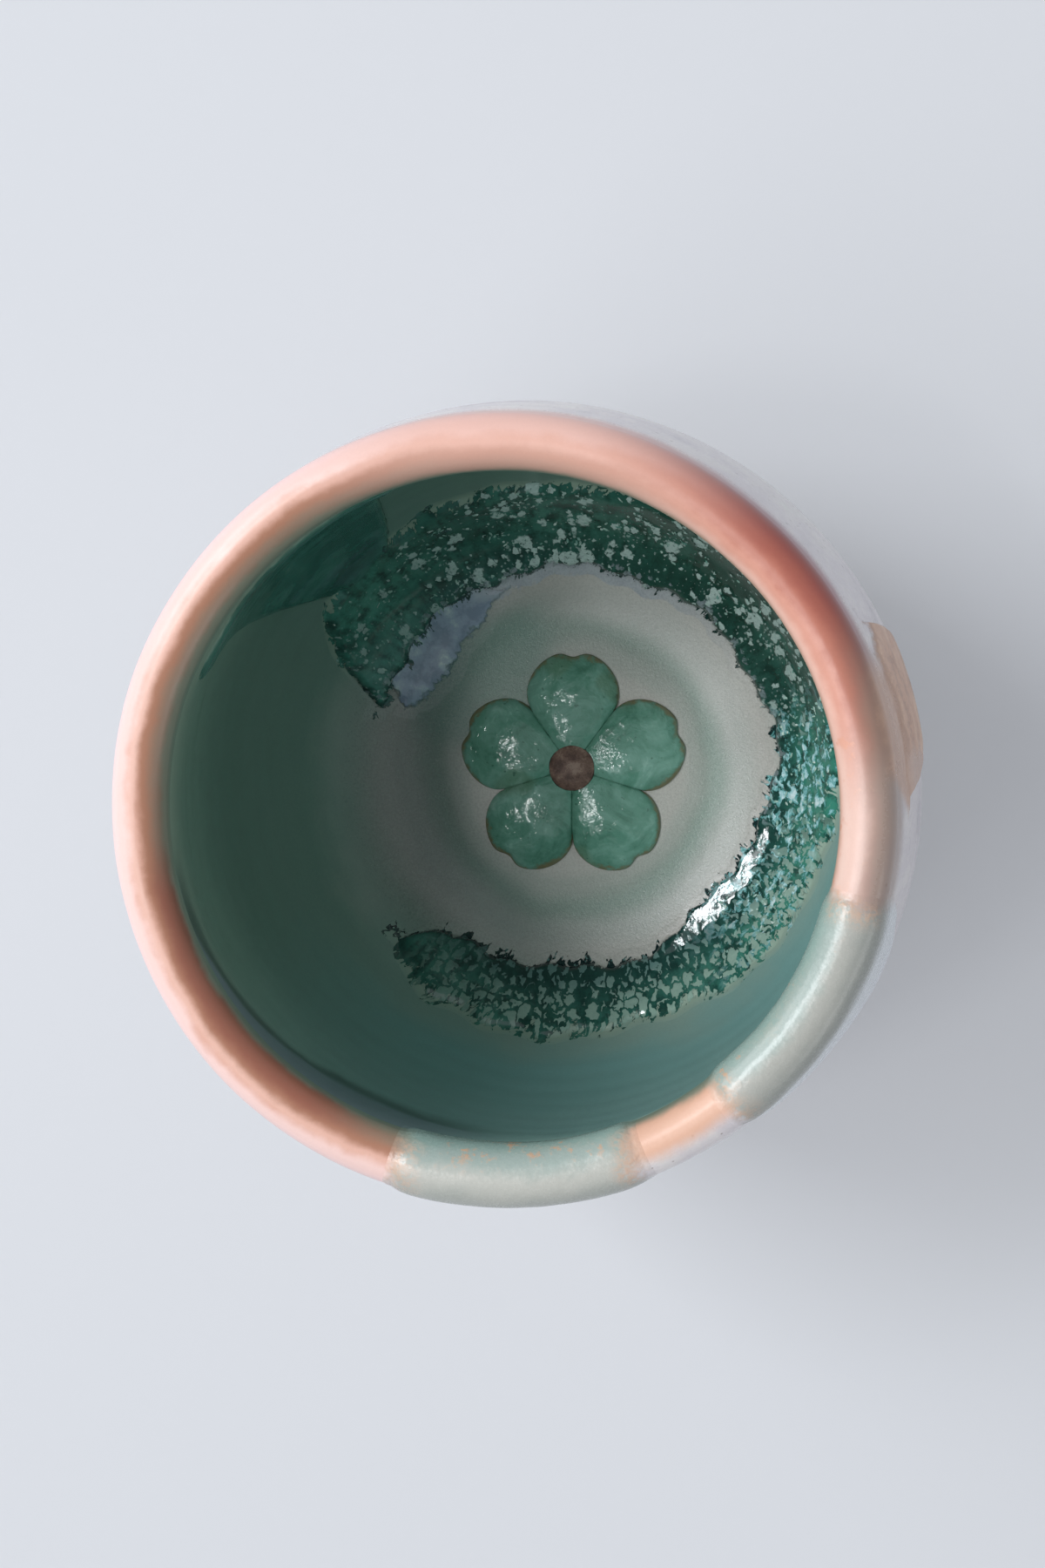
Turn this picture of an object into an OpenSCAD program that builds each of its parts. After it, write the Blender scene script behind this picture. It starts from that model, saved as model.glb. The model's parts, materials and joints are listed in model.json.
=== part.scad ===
// A wheel-thrown tumbler without a handle: one clay body under several fired glazes.
// Millimetres, +Z up, origin under the middle of the foot.
//
// Everything follows one section line. It starts at the middle of the floor, runs up the
// inside, over the round lip and down the outside to the foot. A place on the wall is its
// distance along that line and its angle round the cup, and every glaze is laid on it.

/* [Clay] */
// Height of the clay body, foot to lip
cup_h = 86.4; // [80:0.2:96]
// Outer radius of the clay at the lip
lip_r = 42; // [40:0.1:44]
// Thickness of the clay at the fully rounded lip
lip_t = 5.1; // [3.6:0.1:6]
// Outer radius of the clay at the belly
belly_r = 44.7; // [43.4:0.1:48]
// Height of the widest line of the belly
belly_z = 56; // [50:0.5:60]
// Thickness of the wall at the belly
wall_t = 4.4; // [3.6:0.1:6.2]

/* [Foot] */
// Outer radius of the turned foot
foot_r = 27.5; // [25:0.5:30]
// Height of the foot ring below the body
foot_h = 5; // [3.5:0.5:6.5]
// Width of the foot ring
foot_w = 5; // [4:0.5:7]
// Depth of the recess inside the foot ring
recess_h = 4.4; // [2.5:0.1:4.6]
// Rounding of the foot ring's edges
foot_round = 0.8; // [0.4:0.1:1.2]

/* [Floor] */
// Thickness of the clay under the floor
floor_t = 7; // [6:0.2:8.5]
// Radius of the floor's flat middle
well_r = 16.5; // [16:0.5:19]

/* [Coats] */
// Thickness of the liner glaze
liner_t = 0.6; // [0.4:0.1:1]
// Thickness of the glaze on the lip's crest, where it breaks thin
crest_t = 0.5; // [0.3:0.1:0.8]
// Thickness of the outer glaze
outer_t = 0.7; // [0.4:0.1:1]
// How far the lip glaze reaches down inside from the rounding of the lip
dip_in = 0.8; // [0.4:0.1:3]
// How far the lip glaze reaches down outside from the rounding of the lip
dip_out = 8; // [4:0.5:14]
// Bare clay between the foot and the roll of glaze above it
bare_w = 3; // [1:0.5:6]
// How far the roll of glaze above the foot stands out from the coat
roll_t = 0.7; // [0:0.1:1.2]
// Width of that roll
roll_w = 2.4; // [1.5:0.1:4]

/* [Green ring] */
// Distance from the floor's flat middle to the ring's inner edge
ring_gap = 11; // [9:0.5:13]
// Mean width of the ring up the wall
ring_w = 16; // [12:0.5:18]
// How much wider or narrower the ring is on its two sides
ring_sway = 4.6; // [0:0.2:5]
// Thickness of the ring's glaze at its middle
ring_t = 1.2; // [0.6:0.1:2]
// Angle where the ring starts
ring_a0 = -134; // [-140:1:-126]
// Angle where the ring ends
ring_a1 = 162; // [156:1:170]

/* [Run and pours] */
// Thickness of the run that feeds the ring
run_t = 0.9; // [0.4:0.1:1.4]
// How far below the lip the run starts
run_drop = 7; // [5:0.5:12]
// Thickness of the grey pool inside the ring
pool_t = 0.7; // [0.4:0.1:1.2]
// Width of the grey pool
pool_w = 6; // [3:0.5:7.5]
// Thickness of the two pours on the outside
pour_t = 0.5; // [0.3:0.1:0.9]
// How far the pale pour runs down the outside
lip_pour_run = 20; // [14:1:26]
// How far the ochre pour runs down the outside
side_pour_run = 34; // [24:1:40]

/* [Blossom] */
// Radius over the petals
blossom_r = 15.6; // [12:0.2:16]
// Height of a petal
petal_h = 2.2; // [1.2:0.1:3]
// Number of petals
petals = 5; // [4:1:7]
// Radius at the notches between petals, as a share of the radius over them
notch = 0.62; // [0.45:0.01:0.8]
// Radius of the brown eye
eye_r = 3; // [2:0.1:3.6]
// Height of the brown eye's rim
eye_h = 1.5; // [0.8:0.1:2.4]
// Rise of the eye's dome above its rim
eye_dome = 0.7; // [0.3:0.1:1.2]

/* [Hidden] */
$fn = 160;
// Clearance between two glazes that run up to each other
seam = 0.1;
// Thickness of a film of glaze at its edge
edge_t = 0.12;
// Clearance under a film on the outside, whose flat facets bridge a round coat
bridge = 0.04;
// Steps along each long curve and each short one of the section line
long_steps = 22;
short_steps = 10;

floor_z = recess_h + floor_t;
lip_z = cup_h - lip_t / 2;
hollow_r = belly_r - wall_t;
throat_r = lip_r - lip_t;

// Cubic curve through p[0] and p[3], drawn towards p[1] and p[2]
function bend(p, t) = pow(1 - t, 3) * p[0] + 3 * pow(1 - t, 2) * t * p[1]
    + 3 * (1 - t) * t * t * p[2] + pow(t, 3) * p[3];
// The curve's points after its first one
function bend_points(p, n) = [for (i = [1:n]) bend(p, i / n)];
// Points of an arc after its first one
function arc_points(centre, r, a0, a1, n) =
    [for (i = [1:n]) centre + r * [cos(a0 + (a1 - a0) * i / n), sin(a0 + (a1 - a0) * i / n)]];

// Heights of the curves' handles, as shares of the rise that they bend
well_rise = belly_z - floor_z;
body_rise = belly_z - foot_h;
neck_rise = lip_z - belly_z;
well_curve = [[well_r, floor_z], [well_r + 0.72 * (hollow_r - well_r), floor_z],
              [hollow_r, belly_z - 0.67 * well_rise], [hollow_r, belly_z]];
throat_curve = [[hollow_r, belly_z], [hollow_r, belly_z + 0.4 * neck_rise],
                [throat_r + 0.8, lip_z - 0.32 * neck_rise], [throat_r, lip_z]];
neck_curve = [[lip_r, lip_z], [lip_r + 0.9, lip_z - 0.3 * neck_rise],
              [belly_r, belly_z + 0.42 * neck_rise], [belly_r, belly_z]];
body_curve = [[belly_r, belly_z], [belly_r, belly_z - 0.62 * body_rise],
              [foot_r + 0.55 * (belly_r - foot_r), foot_h + 0.1 * body_rise], [foot_r, foot_h]];

inside = concat([[0, floor_z], [well_r, floor_z]], bend_points(well_curve, long_steps),
                bend_points(throat_curve, short_steps));
over_lip = arc_points([lip_r - lip_t / 2, lip_z], lip_t / 2, 180, 0, short_steps);
outside = concat(bend_points(neck_curve, short_steps), bend_points(body_curve, long_steps));
line = concat(inside, over_lip, outside);

// Distance along the line to each of its points
dist = [for (i = 0, d = 0; i < len(line); i = i + 1,
        d = i < len(line) ? d + norm(line[i] - line[i - 1]) : d) d];
// Unit vector, and the direction out of the clay at each point
function unit(v) = v / norm(v);
function along(i) = unit(line[min(i + 1, len(line) - 1)] - line[max(i - 1, 0)]);
out_dirs = [for (i = [0:len(line) - 1]) i < 2 ? [0, 1] : [-along(i)[1], along(i)[0]]];

// Tables from distance to radius, height and direction
r_at = [for (i = [0:len(line) - 1]) [dist[i], line[i][0]]];
z_at = [for (i = [0:len(line) - 1]) [dist[i], line[i][1]]];
out_r_at = [for (i = [0:len(line) - 1]) [dist[i], out_dirs[i][0]]];
out_z_at = [for (i = [0:len(line) - 1]) [dist[i], out_dirs[i][1]]];
// The point at distance s along the line, lifted off the clay
function on_wall(s, lift) = [lookup(s, r_at), lookup(s, z_at)]
    + lift * [lookup(s, out_r_at), lookup(s, out_z_at)];

// Landmarks on the line
throat_s = dist[len(inside) - 1];
shoulder_s = dist[len(inside) + short_steps - 1];
foot_s = dist[len(line) - 1];
liner_end = throat_s - dip_in;
lip_end = shoulder_s + dip_out;
glaze_end = foot_s - bare_w;

// Smooth step from 0 at a to 1 at b
function ease(x, a, b) = let (t = max(0, min(1, (x - a) / (b - a)))) t * t * (3 - 2 * t);
// Thickness of the coat that the clay wears at distance s
function coat_t(s) = liner_t + (crest_t - liner_t) * ease(s, liner_end, throat_s)
    + (outer_t - crest_t) * ease(s, shoulder_s, lip_end)
    + roll_t * exp(-pow((s - glaze_end + roll_w) / roll_w, 2) * 2);

// Section of a coat that covers the line from s0 to s1
module coat_section(s0, s1) {
    stops = concat([s0], [for (d = dist) if (d > s0 + seam && d < s1 - seam) d], [s1]);
    last = len(stops) - 1;
    polygon(concat([for (s = stops) on_wall(s, coat_t(s))],
                   [for (i = [last:-1:0]) on_wall(stops[i], 0)]));
}

// A film of glaze lying on the coats, from angle a0 to a1. place(a, j) is the distance
// along the line of column j at angle a. The film swells to its full thickness and thins
// out to its edges. Over close[0] and close[1] degrees its ends draw in to round tips, and
// an end that doesn't draw in wanders by a few degrees. tips holds where across the film
// its two tips lie, from 0 at its first edge to 1 at its last.
module film(a0, a1, rows, cols, place, thick, close = [0, 0], tips = [0.5, 0.5], lift = 0) {
    function end_room(d, reach) = pow(sin(90 * min(1, (d + 0.5) / max(reach, 0.5))), 0.7);
    function open_at(a) = end_room(a - a0, close[0]) * end_room(a1 - a, close[1]);
    function fade(i) = sqrt(min(1, 6 * min(i, rows - i) / rows));
    function tip(a) = between(place(a, 0), place(a, cols), tips[2 * a < a0 + a1 ? 0 : 1], 1);
    function stop(a, j) = tip(a) + (place(a, j) - tip(a)) * open_at(a);
    function share(a, j) = (place(a, j) - place(a, 0)) / (place(a, cols) - place(a, 0));
    function spot(i, j, side) = let (
        a = a0 + (a1 - a0) * i / rows,
        s = stop(a, j),
        wander = (close[0] + close[1] > 0 ? 0 : 1.2) * (1 - fade(i)) * sin(25 * s),
        swell = sqrt(max(0, sin(180 * share(a, j)))) * fade(i),
        p = on_wall(s, coat_t(s) + lift + side * (edge_t + (thick - edge_t) * swell))
    ) [p[0] * cos(a + wander), p[0] * sin(a + wander), p[1]];
    function at(i, j, side) = (side * (rows + 1) + i) * (cols + 1) + j;
    faces = [
        for (i = [0:rows - 1]) for (j = [0:cols - 1]) each concat(
            quad(at(i, j, 1), at(i + 1, j, 1), at(i + 1, j + 1, 1), at(i, j + 1, 1)),
            quad(at(i, j, 0), at(i, j + 1, 0), at(i + 1, j + 1, 0), at(i + 1, j, 0))),
        for (i = [0:rows - 1]) each concat(
            quad(at(i, 0, 0), at(i + 1, 0, 0), at(i + 1, 0, 1), at(i, 0, 1)),
            quad(at(i, cols, 0), at(i, cols, 1), at(i + 1, cols, 1), at(i + 1, cols, 0))),
        for (j = [0:cols - 1]) each concat(
            quad(at(0, j, 0), at(0, j, 1), at(0, j + 1, 1), at(0, j + 1, 0)),
            quad(at(rows, j, 0), at(rows, j + 1, 0), at(rows, j + 1, 1), at(rows, j, 1)))
    ];
    polyhedron([for (side = [0:1]) for (i = [0:rows]) for (j = [0:cols]) spot(i, j, side)], faces);
}
// Two triangles over four corners
function quad(a, b, c, d) = [[a, b, c], [a, c, d]];
// Evenly spaced column j between two edges
function between(low, high, j, cols) = low + (high - low) * j / cols;

// Edges of the green ring: a toothed inner one, and an outer one that is widest at the
// top left, with the drips of a glaze that ran
ring_s = well_r + ring_gap;
function ring_low(a) = ring_s + 0.5 * sin(9 * a) + 0.35 * sin(31 * a);
function ring_high(a) = ring_s + ring_w + ring_sway * cos(a - 95)
    + 0.7 * sin(7 * a + 40) + 0.6 * sin(26 * a);

// The run comes down from below the lip at the upper left and spreads into the ring. Its
// upper edge climbs over run_slope degrees to its full height at run_right, and its lower
// edge leaves the ring at run_left, run_join degrees on from its start.
run_a0 = 115;
run_a1 = 158;
run_slope = 19;
run_join = 25;
run_right = run_a0 + run_slope;
run_left = run_a0 + run_join;
run_tip_w = 6;
run_toe_w = 9;
run_top = throat_s - run_drop;
function run_low(a) = ring_high(a) + seam
    + max(0, run_top - run_tip_w - ring_high(a)) * ease(a, run_left, run_a1);
function run_high(a) = run_top - 0.8 * (1 + sin(13 * a))
    - (run_top - ring_high(run_a0) - run_toe_w) * (1 - ease(a, run_a0, run_right));

// The grey pool lies inside the ring's upper left part, and widens over pool_swell degrees
pool_a0 = 110;
pool_a1 = 160;
pool_swell = 30;
function pool_low(a) = ring_s + 0.4 * sin(17 * a)
    - 0.5 * pool_w * (1 + ease(a, pool_a0, pool_a0 + pool_swell));
function pool_high(a) = ring_low(a) - seam;

// How far each pour reaches down at its sides
pour_side = 5;

// Two pale pours cross the lip at the lower right, with the lip glaze bare between them
lip_pours = [[-106, -67], [-51, -13]];
lip_core = [for (d = dist) if (d > throat_s - seam && d < shoulder_s + 3) d];
lip_tail = 5;
lip_cols = len(lip_core) + lip_tail;
function lip_pour_low(a) = throat_s - 2 + 0.8 * sin(8 * a);
function lip_pour_high(a, reach) = shoulder_s + pour_side
    + (lip_pour_run - pour_side) * (0.82 + 0.18 * sin(13 * a + 30))
    * pow(max(0, sin(180 * (a - reach[0]) / (reach[1] - reach[0]))), 0.6);
function lip_pour_place(a, j, reach) = j == 0 ? lip_pour_low(a) : j <= len(lip_core) ? lip_core[j - 1]
    : between(lip_core[len(lip_core) - 1], lip_pour_high(a, reach), j - len(lip_core), lip_tail);

// The ochre pour hangs below the lip glaze on the right, and its lower edge runs to a tip
side_pour_a0 = -1;
side_pour_a1 = 30;
function side_pour_low(a) = lip_end - 3 + 1.2 * sin(9 * a);
function side_pour_high(a) = side_pour_low(a) + pour_side + (side_pour_run - pour_side)
    * sin(180 * pow(max(0, (a - side_pour_a0) / (side_pour_a1 - side_pour_a0)), 1.4));

// Outline and height of the blossom. Angle a is measured from the middle of a petal, and
// f runs from 0 at the eye to 1 at the outline. Each petal has a slight cleft at its tip.
function lobe(a) = abs(cos(petals * a / 2));
function from_petal(a) = abs(asin(sin(petals * a / 2)) * 2 / petals);
function petal_reach(a) = blossom_r * (notch + (1 - notch) * pow(lobe(a), 0.6))
    * (1 - 0.05 * exp(-pow(from_petal(a) / 5, 2)));
function petal_rise(a, f) = edge_t
    + (petal_h - edge_t) * (0.55 + 0.45 * sqrt(lobe(a))) * sqrt(max(0, sin(40 + 140 * f)));

// Thrown in one piece, with a turned foot ring
module clay_body() {
    inner_r = foot_r - foot_w;
    foot = concat(
        arc_points([foot_r - foot_round, foot_round], foot_round, 0, -90, 5),
        [[inner_r + foot_round, 0]],
        arc_points([inner_r + foot_round, foot_round], foot_round, -90, -180, 5),
        arc_points([inner_r - 1.5, recess_h - 1.5], 1.5, 0, 90, 5),
        [[0, recess_h]]);
    color("tan") rotate_extrude() polygon(concat(line, [[foot_r, foot_round]], foot));
}

// Satin green-grey glaze over the whole inside
module liner_glaze() {
    color("darkseagreen") rotate_extrude() coat_section(0, liner_end);
}

// Salmon glaze over the lip and the neck below it
module lip_glaze() {
    color("salmon") rotate_extrude() coat_section(liner_end, lip_end);
}

// Grey-lavender glaze over the outside, ending in a roll above the foot
module outer_glaze() {
    color("thistle") rotate_extrude() coat_section(lip_end, glaze_end);
}

// Pale celadon poured over the lip twice
module lip_pour() {
    color("honeydew") for (reach = lip_pours)
        film(reach[0], reach[1], rows = 14, cols = lip_cols,
            place = function (a, j) lip_pour_place(a, j, reach), thick = pour_t, lift = bridge);
}

// Ochre-brown pour on the outside
module side_pour() {
    color("peru") film(side_pour_a0, side_pour_a1, rows = 18, cols = 10,
        place = function (a, j) between(side_pour_low(a), side_pour_high(a), j, 10),
        thick = pour_t, close = [3, 6], lift = bridge);
}

// Thick crystalline green glaze pooled where the floor turns up into the wall
module green_glaze_ring() {
    color("darkgreen") film(ring_a0, ring_a1, rows = 118, cols = 6,
        place = function (a, j) between(ring_low(a), ring_high(a), j, 6),
        thick = ring_t, close = [16, 17], tips = [0.5, 0]);
}

// The run of the same glaze from the lip down to the ring
module green_glaze_run() {
    color("darkslategray") film(run_a0, run_a1, rows = 30, cols = 10,
        place = function (a, j) between(run_low(a), run_high(a), j, 10),
        thick = run_t, close = [6, 5]);
}

// Grey-lavender pool between the ring and the blossom
module grey_glaze_pool() {
    color("slategray") film(pool_a0, pool_a1, rows = 24, cols = 4,
        place = function (a, j) between(pool_low(a), pool_high(a), j, 4),
        thick = pool_t, close = [14, 8]);
}

// Petals of thick glossy glaze round a well that holds the eye
module blossom_petals() {
    rows = 24 * petals;
    cols = 6;
    function spot(i, j, side) = let (
        a = 360 * i / rows,
        f = j / cols,
        r = eye_r + bridge + (petal_reach(a) - eye_r - bridge) * f
    ) [r * cos(a), r * sin(a), side * petal_rise(a, f)];
    function at(i, j, side) = (side * rows + i % rows) * (cols + 1) + j;
    faces = [for (i = [0:rows - 1]) each concat(
        [for (j = [0:cols - 1]) each concat(
            quad(at(i, j, 1), at(i + 1, j, 1), at(i + 1, j + 1, 1), at(i, j + 1, 1)),
            quad(at(i, j, 0), at(i, j + 1, 0), at(i + 1, j + 1, 0), at(i + 1, j, 0)))],
        quad(at(i, 0, 0), at(i + 1, 0, 0), at(i + 1, 0, 1), at(i, 0, 1)),
        quad(at(i, cols, 0), at(i, cols, 1), at(i + 1, cols, 1), at(i + 1, cols, 0)))];
    color("mediumseagreen") translate([0, 0, floor_z + liner_t]) rotate(90)
        polyhedron([for (side = [0:1]) for (i = [0:rows - 1]) for (j = [0:cols]) spot(i, j, side)], faces);
}

// Drop of brown iron glaze in the middle of the petals
module blossom_eye() {
    ball_r = (eye_r * eye_r + eye_dome * eye_dome) / (2 * eye_dome);
    top_z = eye_h + eye_dome;
    color("saddlebrown") translate([0, 0, floor_z + liner_t]) rotate_extrude() polygon(concat(
        [[0, 0], [eye_r, 0], [eye_r, eye_h]],
        arc_points([0, top_z - ball_r], ball_r, acos(eye_r / ball_r), 90, 6)));
}

clay_body();
liner_glaze();
outer_glaze();
lip_glaze();
lip_pour();
side_pour();
green_glaze_ring();
green_glaze_run();
grey_glaze_pool();
blossom_petals();
blossom_eye();
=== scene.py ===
"""Looks of a wheel-thrown tumbler with poured crystalline glazes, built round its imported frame."""
import json
import logging
import math
from dataclasses import dataclass, field
from enum import Enum
from typing import Any, Callable, Mapping, NamedTuple, Sequence

import bpy
import numpy as np
from mathutils import Matrix, Vector

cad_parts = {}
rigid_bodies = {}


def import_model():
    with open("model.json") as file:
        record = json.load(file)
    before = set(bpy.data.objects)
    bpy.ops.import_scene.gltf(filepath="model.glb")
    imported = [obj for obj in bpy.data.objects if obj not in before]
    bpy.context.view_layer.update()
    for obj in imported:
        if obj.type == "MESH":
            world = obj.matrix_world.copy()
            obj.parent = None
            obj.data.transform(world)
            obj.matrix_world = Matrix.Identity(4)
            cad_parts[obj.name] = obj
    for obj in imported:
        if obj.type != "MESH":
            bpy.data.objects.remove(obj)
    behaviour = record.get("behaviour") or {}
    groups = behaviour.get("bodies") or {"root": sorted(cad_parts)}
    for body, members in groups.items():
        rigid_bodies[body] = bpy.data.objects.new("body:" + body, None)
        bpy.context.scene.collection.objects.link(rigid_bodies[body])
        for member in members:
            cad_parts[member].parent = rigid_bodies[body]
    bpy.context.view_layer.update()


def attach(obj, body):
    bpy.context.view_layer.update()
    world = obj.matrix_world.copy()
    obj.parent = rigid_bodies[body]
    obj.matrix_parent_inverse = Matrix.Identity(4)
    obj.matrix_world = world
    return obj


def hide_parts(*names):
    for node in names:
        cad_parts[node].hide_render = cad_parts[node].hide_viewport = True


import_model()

LOG = logging.getLogger("tumbler")

MM = 0.001  # one millimetre in metres
ROWS_ROUND = 384  # faces round a turned piece
WALL_R = 30.0  # radius at which an angle is unrolled into a way round the wall
FEATHER = 0.04  # thickness of a film of glaze at its edge
UNDERSIDE = -9.0  # distance inside the edge that marks a film's underside
SHARP = math.radians(50)  # angle from which an edge is shaded sharp

Array = np.ndarray
Colour = tuple[float, float, float]
Vec3 = tuple[float, float, float]
Span = tuple[float, float]


def shade(red: int, green: int, blue: int) -> Colour:
    """A given colour, as linear light.

    Args:
        red: Red from 0 to 255, as a screen shows it.
        green: Green, likewise.
        blue: Blue, likewise.

    Returns:
        The linear red, green and blue.
    """
    def linear(level: float) -> float:
        """Linear light of one channel."""
        return level / 12.92 if level <= 0.04045 else ((level + 0.055) / 1.055) ** 2.4
    return linear(red / 255), linear(green / 255), linear(blue / 255)


def ease(x: Array | float, low: float, high: float) -> Array:
    """Smooth step from 0 at low to 1 at high."""
    t = np.clip((np.asarray(x, float) - low) / (high - low), 0.0, 1.0)
    return t * t * (3 - 2 * t)


def sin_deg(angle: Array | float) -> Array:
    """Sine of an angle in degrees."""
    return np.sin(np.radians(angle))


def cos_deg(angle: Array | float) -> Array:
    """Cosine of an angle in degrees."""
    return np.cos(np.radians(angle))


def round_axis(angle: Array, r: Array, z: Array) -> Array:
    """Points at angles in degrees, radii and heights."""
    return np.stack([r * cos_deg(angle), r * sin_deg(angle), z + 0 * angle], axis=-1)


def swell(inside: Array, thick: float, reach: float) -> Array:
    """Thickness of a film at a distance inside its edge, where it is thin as a feather."""
    return FEATHER + (thick - FEATHER) * (1 - np.exp(-np.maximum(inside, 0) / reach))


def fan(ends: Span, beyond: float, rows: int) -> Array:
    """Angles from a little before the first end to as much after the second."""
    return np.linspace(ends[0] - beyond, ends[1] + beyond, rows)


def open_share(a: Array, ends: Span, reaches: Span) -> Array:
    """How open a film is at an angle.

    Args:
        a: Angles in degrees.
        ends: Where the film starts and ends.
        reaches: Over how many degrees it opens after its start and closes before its end.

    Returns:
        The shares, from 0 to 1.
    """
    share = 1.0
    for way, reach in ((a - ends[0], reaches[0]), (ends[1] - a, reaches[1])):
        share = share * sin_deg(90 * np.clip((way + 0.5) / reach, 0.0, 1.0)) ** 0.7
    return share


def drawn_in(low: Array, high: Array, low_room: Array, high_room: Array) -> tuple[Array, Array]:
    """Both edges of a film drawn in to its middle, by how open each is."""
    middle = (low + high) / 2
    return middle + (low - middle) * low_room, middle + (high - middle) * high_room


@dataclass(frozen=True)
class CupSizes:
    """Sizes of the clay and of the coats on it, in millimetres, as in the part's source."""

    cup_h: float = 86.4
    lip_r: float = 42.0
    lip_t: float = 5.1
    belly_r: float = 44.7
    belly_z: float = 56.0
    wall_t: float = 4.4
    foot_r: float = 27.5
    foot_h: float = 5.0
    foot_w: float = 5.0
    recess_h: float = 4.4
    foot_round: float = 0.8
    recess_round: float = 1.5
    floor_t: float = 7.0
    well_r: float = 16.5
    liner_t: float = 0.6
    crest_t: float = 0.5
    outer_t: float = 0.7
    dip_in: float = 0.8
    dip_out: float = 8.0
    bare_w: float = 3.0
    roll_t: float = 0.7
    roll_w: float = 2.4


class SectionLine:
    """The line from the middle of the floor, up the inside, over the lip and down to the foot.

    A place on the wall is its distance along the line and its angle round the cup.
    """

    FLAT_STEPS = 39
    LONG_STEPS = 120
    SHORT_STEPS = 60
    WELL_CURVE = (0.72, 0.67)
    THROAT_CURVE = (0.4, 0.8, 0.32)
    NECK_CURVE = (0.9, 0.3, 0.42)
    BODY_CURVE = (0.62, 0.55, 0.1)

    def __init__(self, size: CupSizes) -> None:
        """Draw the line and its tables.

        Args:
            size: Sizes of the cup.
        """
        self.size = size
        self.floor_z = size.recess_h + size.floor_t
        lip_z = size.cup_h - size.lip_t / 2
        hollow_r = size.belly_r - size.wall_t
        throat_r = size.lip_r - size.lip_t
        well_rise = size.belly_z - self.floor_z
        body_rise = size.belly_z - size.foot_h
        neck_rise = lip_z - size.belly_z
        corner = (size.well_r, self.floor_z)
        hollow = (hollow_r, size.belly_z)
        belly = (size.belly_r, size.belly_z)
        flat = np.linspace([0, self.floor_z], corner, self.FLAT_STEPS + 1)
        out, up = self.WELL_CURVE
        well = self._bend([corner, (size.well_r + out * (hollow_r - size.well_r), self.floor_z),
                           (hollow_r, size.belly_z - up * well_rise), hollow], self.LONG_STEPS)
        up, out, down = self.THROAT_CURVE
        throat = self._bend([hollow, (hollow_r, size.belly_z + up * neck_rise),
                             (throat_r + out, lip_z - down * neck_rise),
                             (throat_r, lip_z)], self.SHORT_STEPS)
        turn = np.linspace(math.pi, 0, self.SHORT_STEPS + 1)[1:]
        lip = np.stack([size.lip_r - size.lip_t / 2 + size.lip_t / 2 * np.cos(turn),
                        lip_z + size.lip_t / 2 * np.sin(turn)], axis=1)
        out, down, up = self.NECK_CURVE
        neck = self._bend([(size.lip_r, lip_z), (size.lip_r + out, lip_z - down * neck_rise),
                           (size.belly_r, size.belly_z + up * neck_rise), belly], self.SHORT_STEPS)
        down, out, up = self.BODY_CURVE
        body = self._bend([belly, (size.belly_r, size.belly_z - down * body_rise),
                           (size.foot_r + out * (size.belly_r - size.foot_r),
                            size.foot_h + up * body_rise),
                           (size.foot_r, size.foot_h)], self.LONG_STEPS)
        points = np.concatenate([flat, well, throat, lip, neck, body])
        inside = len(flat) + len(well) + len(throat)
        step = np.linalg.norm(np.diff(points, axis=0), axis=1)
        self.s = np.concatenate([[0.0], np.cumsum(step)])
        self.r = points[:, 0]
        self.z = points[:, 1]
        along = np.gradient(points, axis=0)
        along /= np.linalg.norm(along, axis=1)[:, None]
        self.out_r = -along[:, 1]
        self.out_z = along[:, 0]
        self.throat_s = float(self.s[inside - 1])
        self.shoulder_s = float(self.s[inside + len(lip) - 1])
        self.foot_s = float(self.s[-1])
        self.liner_end = self.throat_s - size.dip_in
        self.lip_end = self.shoulder_s + size.dip_out
        self.glaze_end = self.foot_s - size.bare_w

    @staticmethod
    def _bend(points: Sequence[tuple[float, float]], steps: int) -> Array:
        """Points of a cubic curve after its first one.

        Args:
            points: The curve's two ends, and its two handles between them.
            steps: Steps along it.

        Returns:
            The points.
        """
        p0, p1, p2, p3 = (np.array(p, float) for p in points)
        t = np.linspace(0, 1, steps + 1)[1:, None]
        return ((1 - t) ** 3 * p0 + 3 * (1 - t) ** 2 * t * p1
                + 3 * (1 - t) * t * t * p2 + t ** 3 * p3)

    def at(self, s: Array, lift: Array | float = 0.0) -> tuple[Array, Array]:
        """Radius and height at distance s, lifted off the clay.

        Args:
            s: Distances along the line.
            lift: Height above the clay.

        Returns:
            The radii and the heights.
        """
        r = np.interp(s, self.s, self.r) + lift * np.interp(s, self.s, self.out_r)
        z = np.interp(s, self.s, self.z) + lift * np.interp(s, self.s, self.out_z)
        return np.maximum(r, 0.0), z

    def coat(self, s: Array) -> Array:
        """Thickness of the coat that the clay wears at distance s.

        Args:
            s: Distances along the line.

        Returns:
            The thicknesses.
        """
        size = self.size
        roll = np.exp(-2 * ((s - self.glaze_end + size.roll_w) / size.roll_w) ** 2)
        return (size.liner_t + (size.crest_t - size.liner_t) * ease(s, self.liner_end, self.throat_s)
                + (size.outer_t - size.crest_t) * ease(s, self.shoulder_s, self.lip_end)
                + size.roll_t * roll)


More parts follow.
